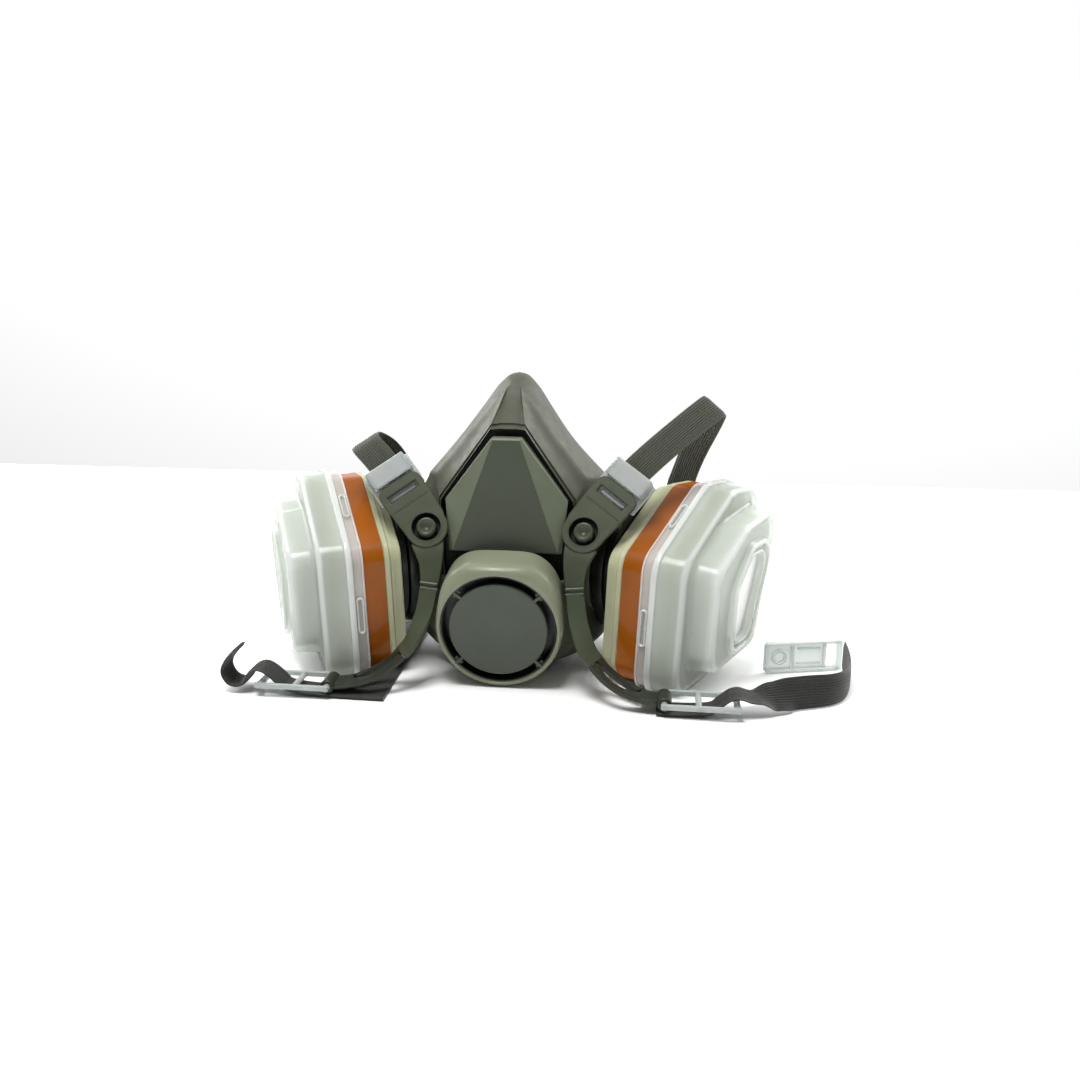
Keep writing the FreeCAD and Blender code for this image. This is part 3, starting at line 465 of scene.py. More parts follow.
def plate_place():
    """Local (along the strap slot, up the arm's end plate, out of its front)."""
    normal = unit(PLATE_NORMAL)
    slot = Vector(SLOT_WAY)
    slot = (slot - normal * slot.dot(normal)).normalized()
    return basis(PLATE_AT, slot, normal.cross(slot), normal)


STACK = stack_place()
EXHALE = exhale_place()
PLATE = plate_place()


def outline(corners, inset=0.0, radius=8.0, arc=7):
    """A polygon drawn in by inset, with its corners rounded, as points clockwise."""
    count = len(corners)
    lines = []
    for i in range(count):
        (x0, y0), (x1, y1) = corners[i], corners[(i + 1) % count]
        run = math.hypot(x1 - x0, y1 - y0)
        dx, dy = (x1 - x0) / run, (y1 - y0) / run
        lines.append((x0 + dy * inset, y0 - dx * inset, dx, dy))
    moved = []
    for i in range(count):
        (px, py, ax, ay), (qx, qy, bx, by) = lines[i - 1], lines[i]
        cross = ax * by - ay * bx
        s = ((qx - px) * by - (qy - py) * bx) / cross
        moved.append((px + ax * s, py + ay * s))
    points = []
    for i in range(count):
        here = Vector(moved[i])
        before = (Vector(moved[i - 1]) - here)
        after = (Vector(moved[(i + 1) % count]) - here)
        half = before.angle(after) / 2
        limit = 0.48 * min(before.length, after.length) * math.tan(half)
        r = min(max(radius, 0.4), limit)
        reach = r / math.tan(half)
        start, end = here + before.normalized() * reach, here + after.normalized() * reach
        centre = here + (before.normalized() + after.normalized()).normalized() * (
            r / math.sin(half))
        a, b = start - centre, end - centre
        sweep = a.angle_signed(b)
        for step in range(arc + 1):
            turn = Matrix.Rotation(-sweep * step / arc, 2)
            points.append(tuple(centre + turn @ a))
    return points


SKIRT = [(-37, -42), (-37, 13), (10, 35), (43, 32), (25, -42)]
BOX = [(-29, -30), (-29, 10), (-1, 22.5), (34, 25), (19, -30)]
WINDOW = [(-12, -22), (-12, 0), (1, 11.5), (18.5, 11), (4, -22)]


def stack_rings(table, sign, floor=None):
    """Rings of (corners, inset, corner radius, level) on the stack, mirrored for the left side."""
    rings = []
    for corners, inset, radius, level in table:
        ring = [STACK(u, v, level) for u, v in outline(corners, inset, radius)]
        if floor is not None:
            ring = [(x, y, max(z, floor)) for x, y, z in ring]
        rings.append(mirror(ring, sign))
    return rings


def stack_solid(name, table, sign, material, body, nodes, slot, loop=False, floor=None, **more):
    rings = stack_rings(table, sign, floor)
    faces = rings_to_faces(len(rings[0]), len(rings), loop=loop, cap_first=not loop,
                           cap_last=not loop)
    return piece(name, flat(rings), faces, material, body, nodes, slot, **more)


def turned(place, profile, segments=64, sign=1, closed=True, start=(0, 0)):
    """A solid of revolution about a place's third axis from (radius, level) pairs."""
    rings = []
    for radius, level in profile:
        ring = []
        for i in range(segments):
            angle = 2 * math.pi * i / segments
            ring.append(place(start[0] + radius * math.cos(angle),
                              start[1] + radius * math.sin(angle), level))
        rings.append(mirror(ring, sign))
    caps = not closed
    return flat(rings), rings_to_faces(segments, len(rings), loop=closed, cap_first=caps,
                                       cap_last=caps)


def brick(place, centre, size, sign=1, turn=0.0):
    """A box about a local centre, turned in the plane of the first two axes."""
    ca, sa = math.cos(turn), math.sin(turn)
    points = []
    for c in (-1, 1):
        for a, b in ((-1, -1), (1, -1), (1, 1), (-1, 1)):
            la, lb = a * size[0] / 2, b * size[1] / 2
            points.append(place(centre[0] + la * ca - lb * sa, centre[1] + la * sa + lb * ca,
                                centre[2] + c * size[2] / 2))
    faces = [(3, 2, 1, 0), (4, 5, 6, 7), (0, 1, 5, 4), (1, 2, 6, 5), (2, 3, 7, 6), (3, 0, 4, 7)]
    return mirror(points, sign), faces


def stadium(place, centre, length, width, low, high, sign=1, turn=0.0, steps=8, hollow=0.0):
    """A raised bar with round ends, or a closed raised rim of a given wall when hollow is set."""
    def ring(inset, level):
        points = []
        half, radius = length / 2 - width / 2, width / 2 - inset
        for end in (1, -1):
            for k in range(steps + 1):
                angle = -math.pi / 2 + math.pi * k / steps
                a = end * (half + radius * math.cos(angle))
                b = end * radius * math.sin(angle)
                ca, sa = math.cos(turn), math.sin(turn)
                points.append(place(centre[0] + a * ca - b * sa, centre[1] + a * sa + b * ca,
                                    level))
        return mirror(points, sign)
    lip = 0.3
    if hollow:
        rings = [ring(0, low), ring(0, high - lip), ring(lip, high), ring(hollow - lip, high),
                 ring(hollow, high - lip), ring(hollow, low)]
        return flat(rings), rings_to_faces(len(rings[0]), len(rings), loop=True)
    rings = [ring(0, low), ring(0, high - lip), ring(lip, high)]
    return flat(rings), rings_to_faces(len(rings[0]), len(rings), cap_first=True, cap_last=True)


def curve_line(points):
    """The smooth centreline that follows a route, read from its NURBS spline, in metres."""
    curve = bpy.data.curves.new("route", "CURVE")
    curve.dimensions = "3D"
    curve.resolution_u = 12
    spline = curve.splines.new("NURBS")
    spline.points.add(len(points) - 1)
    for target, (x, y, z) in zip(spline.points, points):
        target.co = (x / 1000, (y - SETBACK) / 1000, z / 1000, 1)
    spline.order_u = 3
    spline.use_endpoint_u = True
    obj = bpy.data.objects.new("route", curve)
    bpy.context.scene.collection.objects.link(obj)
    bpy.context.view_layer.update()
    mesh = bpy.data.meshes.new_from_object(obj)
    line = [v.co.copy() for v in mesh.vertices]
    bpy.data.objects.remove(obj)
    bpy.data.curves.remove(curve)
    bpy.data.meshes.remove(mesh)
    return line


def strap_mesh(route):
    """A ribbed elastic strap along a route of (x, y, z, width direction)."""
    line = curve_line([r[:3] for r in route])
    marks = [0.0]
    for a, b in zip(line, line[1:]):
        marks.append(marks[-1] + (b - a).length)
    total = marks[-1]
    spans = [0.0]
    for a, b in zip(route, route[1:]):
        spans.append(spans[-1] + (Vector(b[:3]) - Vector(a[:3])).length)
    spans = [s * total / spans[-1] for s in spans]
    section = []
    steps = STRAP_RIBS * 4
    for k in range(steps + 1):
        share = k / steps
        ridge = 0.30 * abs(math.sin(math.pi * STRAP_RIBS * share))
        edge = min(1.0, 4.0 * min(share, 1 - share) + 0.35)
        section.append((STRAP_WIDTH * (share - 0.5),
                        edge * (STRAP_THICK / 2 - 0.18) + ridge * edge))
    section += [(a, -b) for a, b in reversed(section)]
    rings, uv = [], []
    last = len(line) - 1
    for i, point in enumerate(line):
        along = (line[min(i + 1, last)] - line[max(i - 1, 0)]).normalized()
        k = max(j for j in range(len(spans) - 1) if spans[j] <= marks[i] + 1e-9)
        share = min(1.0, (marks[i] - spans[k]) / (spans[k + 1] - spans[k]))
        share = share * share * (3 - 2 * share)
        wide = unit(route[k][3]).lerp(unit(route[k + 1][3]), share)
        wide = (wide - along * wide.dot(along)).normalized()
        out = along.cross(wide)
        ring = []
        for a, b in section:
            spot = (point + (wide * a + out * b) / 1000) * 1000
            ring.append((spot.x, spot.y + SETBACK, spot.z))
            uv.append((marks[i] * 10, a / 100))
        rings.append(ring)
    faces = rings_to_faces(len(section), len(rings), cap_first=True, cap_last=True)
    return flat(rings), faces, uv, line


# ---------------------------------------------------------------- facepiece

def spline_row(controls, per, sharp=()):
    """Points along a row of control points by Catmull-Rom, straight-ended at the sharp ones."""
    points = []
    count = len(controls)
    for i in range(count - 1):
        p0 = controls[i - 1] if i > 0 and i not in sharp else controls[i]
        p3 = controls[i + 2] if i + 2 < count and (i + 1) not in sharp else controls[i + 1]
        p1, p2 = controls[i], controls[i + 1]
        for step in range(per):
            t = step / per
            points.append(tuple(
                0.5 * (2 * b + (c - a) * t + (2 * a - 5 * b + 4 * c - d) * t * t
                       + (3 * b - a - 3 * c + d) * t ** 3)
                for a, b, c, d in zip(p0, p1, p2, p3)))
    points.append(tuple(controls[-1]))
    return points


# Half rows of (x, y, z) from the top of the facepiece round to its chin.
GROOVE_ROW = [(0, 13.9, 99.8), (3.5, 13.9, 99.8), (7.2, 13.7, 99.4), (17, 12.8, 85.4),
              (27, 11.6, 71), (26.4, 11.0, 61), (25.5, 9.5, 46), (22, 7.5, 24), (12, 6.2, 9),
              (0, 5.6, 4.5)]
CREASE_ROW = [(0, 35.5, 115.6), (1.4, 35.2, 115.2), (3.0, 33.6, 113.4), (16, 25.5, 97.5),
              (31.0, 22.5, 79), (35, 22.5, 62), (34, 18, 42), (31.5, 12, 18.5), (20, 9, 5.6),
              (0, 8, 1.6)]
MIDDLE_ROW = [(0, 44, 118.2), (3.4, 43.5, 117.4), (7.4, 42, 113.8), (22, 36, 94),
              (35.5, 35, 78.0), (42, 35, 62), (43.5, 33, 42), (42.5, 31, 18.5), (30, 27, 5.2),
              (0, 22, 0.4)]
REAR_ROW = [(0, 52, 118.5), (4.2, 52.2, 117.2), (9, 52.5, 112), (22.5, 54, 91.5), (36.5, 55.2, 76),
            (47.5, 56.4, 61), (49, 57.6, 44), (45, 59.4, 19), (30, 60.4, 5.4), (0, 60.8, 0.3)]
STEPS = 8


def seal_half(controls, inset=0.0, back=0.0):
    row = spline_row(controls, STEPS, sharp=(2, 4))
    if not inset and not back:
        return row
    moved = []
    for i, (x, y, z) in enumerate(row):
        a, b = row[max(i - 1, 0)], row[min(i + 1, len(row) - 1)]
        run = math.hypot(b[0] - a[0], b[2] - a[2]) or 1
        nx, nz = (b[2] - a[2]) / run, -(b[0] - a[0]) / run
        if i in (0, len(row) - 1):
            nx = 0
        moved.append((max(0, x + nx * inset), y + back, z + nz * inset))
    return moved


def whole(half):
    return half + [(-x, y, z) for x, y, z in half[-2:0:-1]]


def between(first, second, share):
    return [tuple(a + (b - a) * share for a, b in zip(p, q)) for p, q in zip(first, second)]


def through(rows, steps):
    """Rows blended smoothly through the given ones, with steps between each pair."""
    result = []
    count = len(rows)
    columns = [[row[i] for row in rows] for i in range(len(rows[0]))]
    lines = [spline_row(column, steps) for column in columns]
    for k in range((count - 1) * steps + 1):
        result.append([line[k] for line in lines])
    return result


def drum(place, radius, low, high, sign=1):
    """A plain round solid along a place's axis, used to bore an opening."""
    count = 48
    rings = [[place(radius * math.cos(2 * math.pi * i / count),
                    radius * math.sin(2 * math.pi * i / count), level) for i in range(count)]
             for level in (low, high)]
    return mirror(flat(rings), sign), rings_to_faces(count, 2, cap_first=True, cap_last=True)


def plain_object(name, points, faces):
    mesh = bpy.data.meshes.new(name)
    mesh.from_pydata([tuple(p) for p in points], [], faces)
    obj = bpy.data.objects.new(name, mesh)
    bpy.context.scene.collection.objects.link(obj)
    shape = bmesh.new()
    shape.from_mesh(mesh)
    bmesh.ops.recalc_face_normals(shape, faces=shape.faces)
    shape.to_mesh(mesh)
    shape.free()
    return obj


def bored(points, faces, tags, drums):
    """The solid with each drum cut out of it, and each face's tag carried over."""
    body = plain_object("uncut", points, faces)
    for material in (SEAL, GROOVE):
        body.data.materials.append(material)
    for face, tag in zip(body.data.polygons, tags):
        face.material_index = tag
    cutters = [plain_object("cutter", *solid) for solid in drums]
    for cutter in cutters:
        cut = body.modifiers.new("bore", "BOOLEAN")
        cut.operation, cut.object, cut.solver = "DIFFERENCE", cutter, "EXACT"
        cut.use_self = True
    bpy.context.view_layer.update()
    done = body.evaluated_get(bpy.context.evaluated_depsgraph_get()).to_mesh()
    result = ([tuple(v.co) for v in done.vertices], [tuple(f.vertices) for f in done.polygons],
              [f.material_index for f in done.polygons])
    for obj in [body] + cutters:
        mesh = obj.data
        bpy.data.objects.remove(obj)
        bpy.data.meshes.remove(mesh)
    return result


def build_facepiece():
    groove, crease = seal_half(GROOVE_ROW), seal_half(CREASE_ROW)
    middle, rear = seal_half(MIDDLE_ROW), seal_half(REAR_ROW)
    flank = []
    ridge = 2 * STEPS
    for share, step in ((0, 0.9), (0.015, 1.1), (0.11, 1.1), (0.135, 0.1), (0.22, 0), (0.42, 0.4),
                        (0.62, 0.5), (0.82, 0.2), (1, 0)):
        row = between(groove, crease, share)
        fade = min(1, 6 * share) * min(1, 5 * (1 - share))
        for i in range(len(row)):
            sunk = step
            if i < ridge - 1:
                sunk += 1.3 * fade * min(1.0, (ridge - 1 - i) / 3)
            elif i <= ridge + 1:
                sunk -= (0.4, 0.7, 0.4)[i - ridge + 1] * fade
            x, y, z = row[i]
            row[i] = (x, y + sunk * 0.85, z - sunk * 0.4 * min(1, z / 60))
        flank.append(row)
    sides = through([crease, middle, rear], 6)[1:]
    floor_out = seal_half(GROOVE_ROW, 0.3, 0.6), seal_half(GROOVE_ROW, 0.5, 5.5)
    floor_in = seal_half(GROOVE_ROW, 5.0, 5.5)
    lip = [seal_half(REAR_ROW, 0.8, 1.0), seal_half(REAR_ROW, 3.0, 1.4),
           seal_half(REAR_ROW, 7.5, -0.6), seal_half(REAR_ROW, 8.6, -2.6),
           seal_half(REAR_ROW, 7.0, -4.4)]
    inner = [seal_half(MIDDLE_ROW, 4.0, 1.0), seal_half(CREASE_ROW, 3.4, 3.0),
             seal_half(GROOVE_ROW, 5.0, 7.0)]
    halves = [floor_in, floor_out[1], floor_out[0]] + flank + sides + lip + inner
    rings = [whole(half) for half in halves]
    rings = [[(x, y, max(z, 0.0)) for x, y, z in ring] for ring in rings]
    faces = rings_to_faces(len(rings[0]), len(rings), cap_first=True, cap_last=True)
    groove_end = 3 * len(rings[0])
    tags = [1 if max(face) < groove_end else 0 for face in faces]
    drums = [drum(STACK, PORT_BORE, *PORT_BORE_ENDS, sign) for _, sign in SIDES]
    points, faces, tags = bored(flat(rings), faces, tags, drums)
    parts = [(points, faces)]
    for _, sign in SIDES:
        parts.append(turned(STACK, [(16.0, -3.2), (20.6, -3.2), (21.2, -3.9), (22.0, -10),
                                    (27.6, -10.2), (28.4, -11.2), (29.5, -24), (16.0, -24)],
                            sign=sign))
    parts.append(turned(EXHALE, [(18.1, -19.7), (21.0, -19.7), (21.6, -20.4), (23.5, -26),
                                 (18.1, -26)]))
    points, faces = joined(parts)
    obj = piece("facepiece", points, faces, SEAL, "mask", ["face_seal"], "seal", angle=38)
    obj.data.materials.append(GROOVE)
    for face, tag in zip(obj.data.polygons, tags):
        face.material_index = tag


def build_panel():
    """The faceted centre panel, proud of its groove, with a flat middle and two side facets."""
    rise = [(5.9, 10.2, 96.4), (24.6, 10.9, 71.6), (22.6, 7.6, 51.0)]
    inner = [(5.3, 9.7, 95.7), (21.0, 6.3, 51.4)]
    front = [(-x, y, z) for x, y, z in reversed(rise)] + rise
    middle = [(-x, y, z) for x, y, z in reversed(inner)] + inner
    points = front + middle + [(x, y + 6.5, z) for x, y, z in front]
    faces = [(7, 8, 9, 6), (2, 3, 8, 7), (3, 4, 9, 8), (4, 5, 9), (5, 0, 6, 9), (0, 1, 6),
             (1, 2, 7, 6)]
    faces += [(i, (i + 1) % 6, 10 + (i + 1) % 6, 10 + i) for i in range(6)]
    faces.append(tuple(range(10, 16)))
    obj = piece("centre_panel", points, faces, LIT_FACET, "mask", ["centre_adapter"], "panel",
                angle=3, bevel=0.3)
    obj.data.materials.append(PANEL)
    # Every face but the flat front takes the lighter copy, painted light; the flat front keeps the panel plastic.
    for face in obj.data.polygons:
        centre = face.center * 1000
        flat_front = abs(face.normal.x) < 0.1 and face.normal.y < -0.5 and face.area > 4e-4
        face.material_index = 1 if flat_front and abs(centre.x) < 1 else 0


# ---------------------------------------------------------------- exhalation valve

def cover_radius(angle):
    """How far the cover's outline reaches at an angle from its axis, corners rounded."""
    reach = 25.0
    corners = [(24.4, 5.0), (23.6, 12.0), (20.8, 19.5), (15.6, 24.9), (10.5, 26.4), (0, 26.6)]
    dx, dy = math.cos(angle), math.sin(angle)
    if dy <= 0:
        return reach
    dx = abs(dx)
    for (x0, y0), (x1, y1) in zip(corners, corners[1:]):
        cross = dx * (y1 - y0) - dy * (x1 - x0)
        if abs(cross) < 1e-9:
            continue
        t = (x0 * (y1 - y0) - y0 * (x1 - x0)) / cross
        px = dx * t
        if t > 0 and min(x0, x1) - 1e-6 <= px <= max(x0, x1) + 1e-6:
            return max(reach, t)
    return reach


def build_cover():
    count = 96
    angles = [2 * math.pi * i / count for i in range(count)]
    raw = [cover_radius(a) for a in angles]
    reach = [sum(raw[(i + k) % count] for k in range(-2, 3)) / 5 for i in range(count)]

    def ring(scale, round_part, level):
        points = []
        for angle, r in zip(angles, reach):
            radius = scale * r + (1 - scale) * round_part
            points.append(EXHALE(radius * math.cos(angle), radius * math.sin(angle), level))
        return points
    rings = [ring(0.93, 23.0, -16.9), ring(1.0, 25, -16.9), ring(1.0, 25, -7.0),
             ring(0.97, 24.6, -4.6), ring(0.82, 24.4, -2.6), ring(0.5, 24.2, -1.0),
             ring(0.2, 24.0, -0.25), ring(0.0, 23.7, 0.0), ring(0.0, 23.1, -0.1),
             ring(0.0, 22.8, -0.5), ring(0.0, 22.6, -2.6), ring(0.0, 22.6, -6.0),
             ring(0.0, 23.0, -6.2), ring(0.5, 22.8, -10), ring(0.93, 23.0, -12.0)]
    shell = flat(rings), rings_to_faces(count, len(rings), loop=True)
    piece("valve_cover", *shell, COVER, "outlet_cover", ["exhalation_cover"], "cover", angle=40)
    disc = turned(EXHALE, [(0.01, 0.0), (18.5, 0.0), (19.1, -0.15), (19.3, -0.5), (19.3, -2.2),
                           (0.01, -2.2)], 96, closed=False)
    parts = [disc]
    for angle in (42, 138, 222, 318):
        a = math.radians(angle)
        spot = (20.9 * math.cos(a), 20.9 * math.sin(a), -1.1)
        parts.append(brick(EXHALE, spot, (4.4, 1.25, 1.5), turn=a))
        spot = (21.7 * math.cos(a), 21.7 * math.sin(a), -1.9)
        parts.append(brick(EXHALE, spot, (1.8, 3.6, 1.2), turn=a))
    points, faces = joined(parts)
    obj = piece("valve_disc", points, faces, DISC, "outlet_cover", [], "cover", angle=40)
    rib = obj.modifiers.new("edges", "BEVEL")
    rib.width, rib.segments, rib.limit_method = 0.0002, 2, "ANGLE"
    # A black liner inside the annulus behind the disc: painted shade in the gap.
    shade_well = turned(EXHALE, [(18.4, -6.6), (21.9, -6.6), (22.2, -0.9), (22.5, -0.9), (22.55, -7.4),
                          (18.4, -7.4)])
    piece("valve_well", *shade_well, BLACK_AND_SHADE, "outlet_cover", [], "cover")


# ---------------------------------------------------------------- cartridges

def build_stack(side, sign):
    cartridge, retainer = f"cartridge_{side}", f"retainer_{side}"
    stack_solid(f"cartridge_foot_{side}", [
        (SKIRT, 6.0, 6, 0.4), (SKIRT, 4.4, 8, 0.25), (SKIRT, 3.9, 8, 0.6), (SKIRT, 3.7, 8, 4.4),
        (SKIRT, 3.2, 9, 4.7), (SKIRT, 2.5, 9, 4.9), (SKIRT, 2.2, 9, 5.2), (SKIRT, 2.2, 9, 6.8),
        (SKIRT, 2.5, 9, 7.1), (SKIRT, 6.0, 7, 7.1)], sign, CREAM, cartridge, [], "base")
    stack_solid(f"cartridge_band_{side}", [
        (SKIRT, 3.0, 9, 7.2), (SKIRT, 2.25, 9, 7.3), (SKIRT, 2.12, 9, 7.6),
        (SKIRT, 2.12, 9, 19.6), (SKIRT, 2.25, 9, 19.9), (SKIRT, 2.9, 9, 20.0)], sign, LABEL,
        cartridge, [f"cartridge_label_{side}"], "label")
    stack_solid(f"cartridge_shell_{side}", [
        (SKIRT, 6.0, 7, 7.0), (SKIRT, 2.55, 9, 7.0), (SKIRT, 2.45, 9, 7.2), (SKIRT, 2.45, 9, 28.6),
        (SKIRT, 2.7, 9, 29.0), (SKIRT, 4.4, 8, 29.0)], sign, CREAM, cartridge,
        [f"cartridge_body_{side}"], "body")
    window_in = (WINDOW, 0.2, 6)
    table = [
        (SKIRT, 1.5, 9, 20.4), (SKIRT, -0.3, 11, 20.3), (SKIRT, -0.75, 11.5, 20.7),
        (SKIRT, -0.75, 11.5, 22.4), (SKIRT, -0.3, 11, 22.9), (SKIRT, 0.0, 11, 23.1),
        (SKIRT, 0.3, 11, 31.6), (SKIRT, 0.8, 10.5, 33.0), (SKIRT, 1.9, 10, 33.8),
        (SKIRT, 3.4, 9, 34.1), (BOX, -3.0, 9.5, 34.3), (BOX, -2.1, 9, 34.7), (BOX, -1.7, 9, 35.6),
        (BOX, -0.9, 8.5, 42.6), (BOX, -0.3, 8, 44.0), (BOX, 0.9, 7.5, 44.8), (BOX, 2.4, 7, 45.0),
        (WINDOW, -5.8, 11, 45.1), (WINDOW, -5.2, 10.5, 45.5), (WINDOW, -4.8, 10, 46.9),
        (WINDOW, -4.2, 9.5, 47.3), (WINDOW, -3.4, 9, 47.3), (WINDOW, -2.8, 8.5, 46.9),
        (WINDOW, -2.5, 8, 45.6), (WINDOW, -1.3, 7.5, 45.5), (WINDOW, -0.9, 7, 46.5),
        (WINDOW, -0.5, 7, 46.8), (WINDOW, 0.0, 6.5, 46.7), (*window_in, 46.2), (*window_in, 44.0),
        (WINDOW, -1.5, 7, 43.7), (BOX, 2.2, 7, 43.4), (BOX, 1.6, 7, 42.6), (BOX, 1.5, 7, 33.4),
        (BOX, 0.5, 8, 32.7), (SKIRT, 3.4, 9, 32.5), (SKIRT, 1.9, 9.5, 31.6),
        (SKIRT, 1.5, 9.5, 30.6)]
    stack_solid(f"retainer_shell_{side}", table, sign, RETAINER, retainer,
                [f"filter_retainer_{side}"], "retainer", loop=True, floor=0.0, angle=50)
    stack_solid(f"retainer_lip_{side}", [
        (SKIRT, 0.6, 9, 20.8), (SKIRT, 0.9, 9, 20.2), (SKIRT, 1.0, 9, 16.9), (SKIRT, 0.6, 9, 16.6),
        (SKIRT, 0.5, 9, 16.2), (SKIRT, 0.8, 9, 15.9), (SKIRT, 1.4, 9, 15.9),
        (SKIRT, 1.6, 9, 16.2), (SKIRT, 1.6, 9, 20.8)], sign, LIP, retainer, [], "retainer",
        loop=True, floor=0.0, angle=40)
    stack_solid(f"filter_pad_{side}", [
        (BOX, 2.6, 6, 30.0), (BOX, 1.9, 7, 30.8), (BOX, 1.9, 7, 42.4), (BOX, 2.6, 6, 43.1),
        (BOX, 7.0, 5, 43.5)], sign, FELT, retainer, [f"particulate_filter_{side}"], "media")
    latches = []
    for (u, v), (du, dv) in (((-37.0, -14.0), (0, 1)), ((-10.2, 25.5), (0.906, 0.424))):
        origin = Vector(STACK(u, v, 0))
        face = basis(origin, unit(Vector(STACK(u, v, 1)) - origin),
                     unit(Vector(STACK(u + du, v + dv, 0)) - origin),
                     unit(Vector(STACK(u - dv, v + du, 0)) - origin))
        latches.append(stadium(face, (18.4, 0), 15.0, 3.0, -1.2, 0.25, sign,
                               math.pi / 2, hollow=0.7))
    points, faces = joined(latches)
    piece(f"retainer_latch_{side}", points, faces, RETAINER, retainer, [], "retainer", angle=40)


def build_port(side, sign):
    # The collar stands for the port's flange; its black colour is painted shade for the facepiece side in shadow
    # between the yoke and the cartridge.
    parts = [turned(STACK, [(13.0, -3.0), (28.0, -3.0), (28.8, -2.6), (29.0, -1.7), (28.7, -0.8),
                            (28.0, -0.5), (13.0, -0.5)], sign=sign),
             turned(STACK, [(21.8, -9.8), (27.6, -9.8), (28.9, -8.9), (29.4, -6.4), (28.9, -4.2),
                            (27.6, -3.4), (21.8, -3.4)], sign=sign)]
    points, faces = joined(parts)
    piece(f"port_collar_{side}", points, faces, BLACK_AND_SHADE, "mask", [], "port")


# ---------------------------------------------------------------- harness

ARM_THICK, ARM_CROWN = 2.0, 0.35


def swept(stations, sign=1):
    """A flat moulded arm through stations of (centre, half-width vector), softly rounded."""
    centres = spline_row([s[0] for s in stations], 6)
    halves = spline_row([s[1] for s in stations], 6)
    rings = []
    last = len(centres) - 1
    for i, (centre, half) in enumerate(zip(centres, halves)):
        centre, half = Vector(centre), Vector(half)
        along = (Vector(centres[min(i + 1, last)]) - Vector(centres[max(i - 1, 0)])).normalized()
        half = half - along * half.dot(along)
        out = along.cross(half).normalized() * (ARM_THICK / 2)
        ring = []
        for a, b in ((-1, -0.5), (-0.93, -1), (0.93, -1), (1, -0.5), (1, 0.5), (0.93, 1),
                     (0, 1 + ARM_CROWN), (-0.93, 1), (-1, 0.5)):
            ring.append(tuple(centre + half * a + out * b))
        rings.append(mirror(ring, sign))
    return flat(rings), rings_to_faces(9, len(rings), cap_first=True, cap_last=True)


ARM = [
    ((30.6, 3.4, 55.3), (5.8, -2.2, -2.4)), ((29.4, 1.4, 51.8), (5.3, -1.6, -2.0)),
    ((28.6, -0.6, 46.5), (4.5, -0.6, -0.8)), ((28.9, -2.8, 38.8), (3.7, 0.3, 0.4)),
    ((30.5, -7.0, 28.0), (3.4, 1.7, 1.0)), ((34.5, -12.5, 18.5), (2.2, 4.4, 1.2)),
    ((38.0, -14.7, 14.6), (1.4, 5.2, 0.9))]
FOREARM = [
    ((38.0, -14.7, 14.6), (1.4, 5.2, 0.9)), ((42.5, -17.2, 10.6), (0.7, 6.2, 0.6)),
    ((48.5, -20.2, 7.5), (0.3, 6.5, 0.3)), ((55.0, -22.3, 5.4), (0.0, 5.8, 0.0))]
WRIST = [
    ((55.0, -22.3, 5.4), (0.0, 5.8, 0.0)), ((58.0, -23.0, 4.8), (0.0, 5.5, 0.0)),
    ((62.0, -23.4, 4.4), (0.0, 5.2, 0.0))]


def strand(stations, edge):
    """One edge of the forearm, beside the long slot that runs down its middle."""
    result = []
    for i, (centre, half) in enumerate(stations):
        share = (0.5, 0.29, 0.29, 0.5)[i]
        shift = edge * (1 - share)
        result.append((tuple(c + h * shift for c, h in zip(centre, half)),
                       tuple(h * share for h in half)))
    return result


PIN = basis((64.4, -23.4, 4.4), Vector((1, 0, 0)), Vector((0, 0, 1)), Vector((0, -1, 0)))


def plate_solid(sign):
    """The arm's end plate, with its strap slot and the hole for the stud cut through."""
    side = [(5.6, 6.0), (7.2, 5.7), (8.5, 4.9), (9.3, 3.6), (9.6, 2.0), (9.6, -3.0), (9.2, -10.0),
            (8.9, -15.5)]
    foot = [(0.3 + FOOT_ROUND * math.cos(math.radians(a)),
             STUD_AT[1] + FOOT_ROUND * math.sin(math.radians(a))) for a in range(0, -181, -15)]
    outer = side + foot + [(-x, y) for x, y in reversed(side)]
    shape = bmesh.new()

    def loop(points, level):
        return [shape.verts.new(PLATE(x, y, level)) for x, y in points]
    hole = [(STUD_AT[0] + STUD_HOLE * math.cos(2 * math.pi * i / 40),
             STUD_AT[1] + STUD_HOLE * math.sin(2 * math.pi * i / 40)) for i in range(40)]
    slot = [(-6.7, -1.5), (6.7, -1.5), (6.7, 1.5), (-6.7, 1.5)]
    levels = []
    for level in (-1.0, 1.0):
        edges = []
        rows = []
        for points in (outer, hole, slot):
            row = loop(points, level)
            rows.append(row)
            edges += [shape.edges.new((row[i], row[(i + 1) % len(row)])) for i in range(len(row))]
        bmesh.ops.triangle_fill(shape, use_beauty=True, use_dissolve=False, edges=edges)
        levels.append(rows)
    for low, high in zip(*levels):
        for i in range(len(low)):
            j = (i + 1) % len(low)
            shape.faces.new((low[i], low[j], high[j], high[i]))
    shape.verts.index_update()
    points = [tuple(v.co) for v in shape.verts]
    faces = [tuple(v.index for v in f.verts) for f in shape.faces]
    shape.free()
    return mirror(points, sign), faces


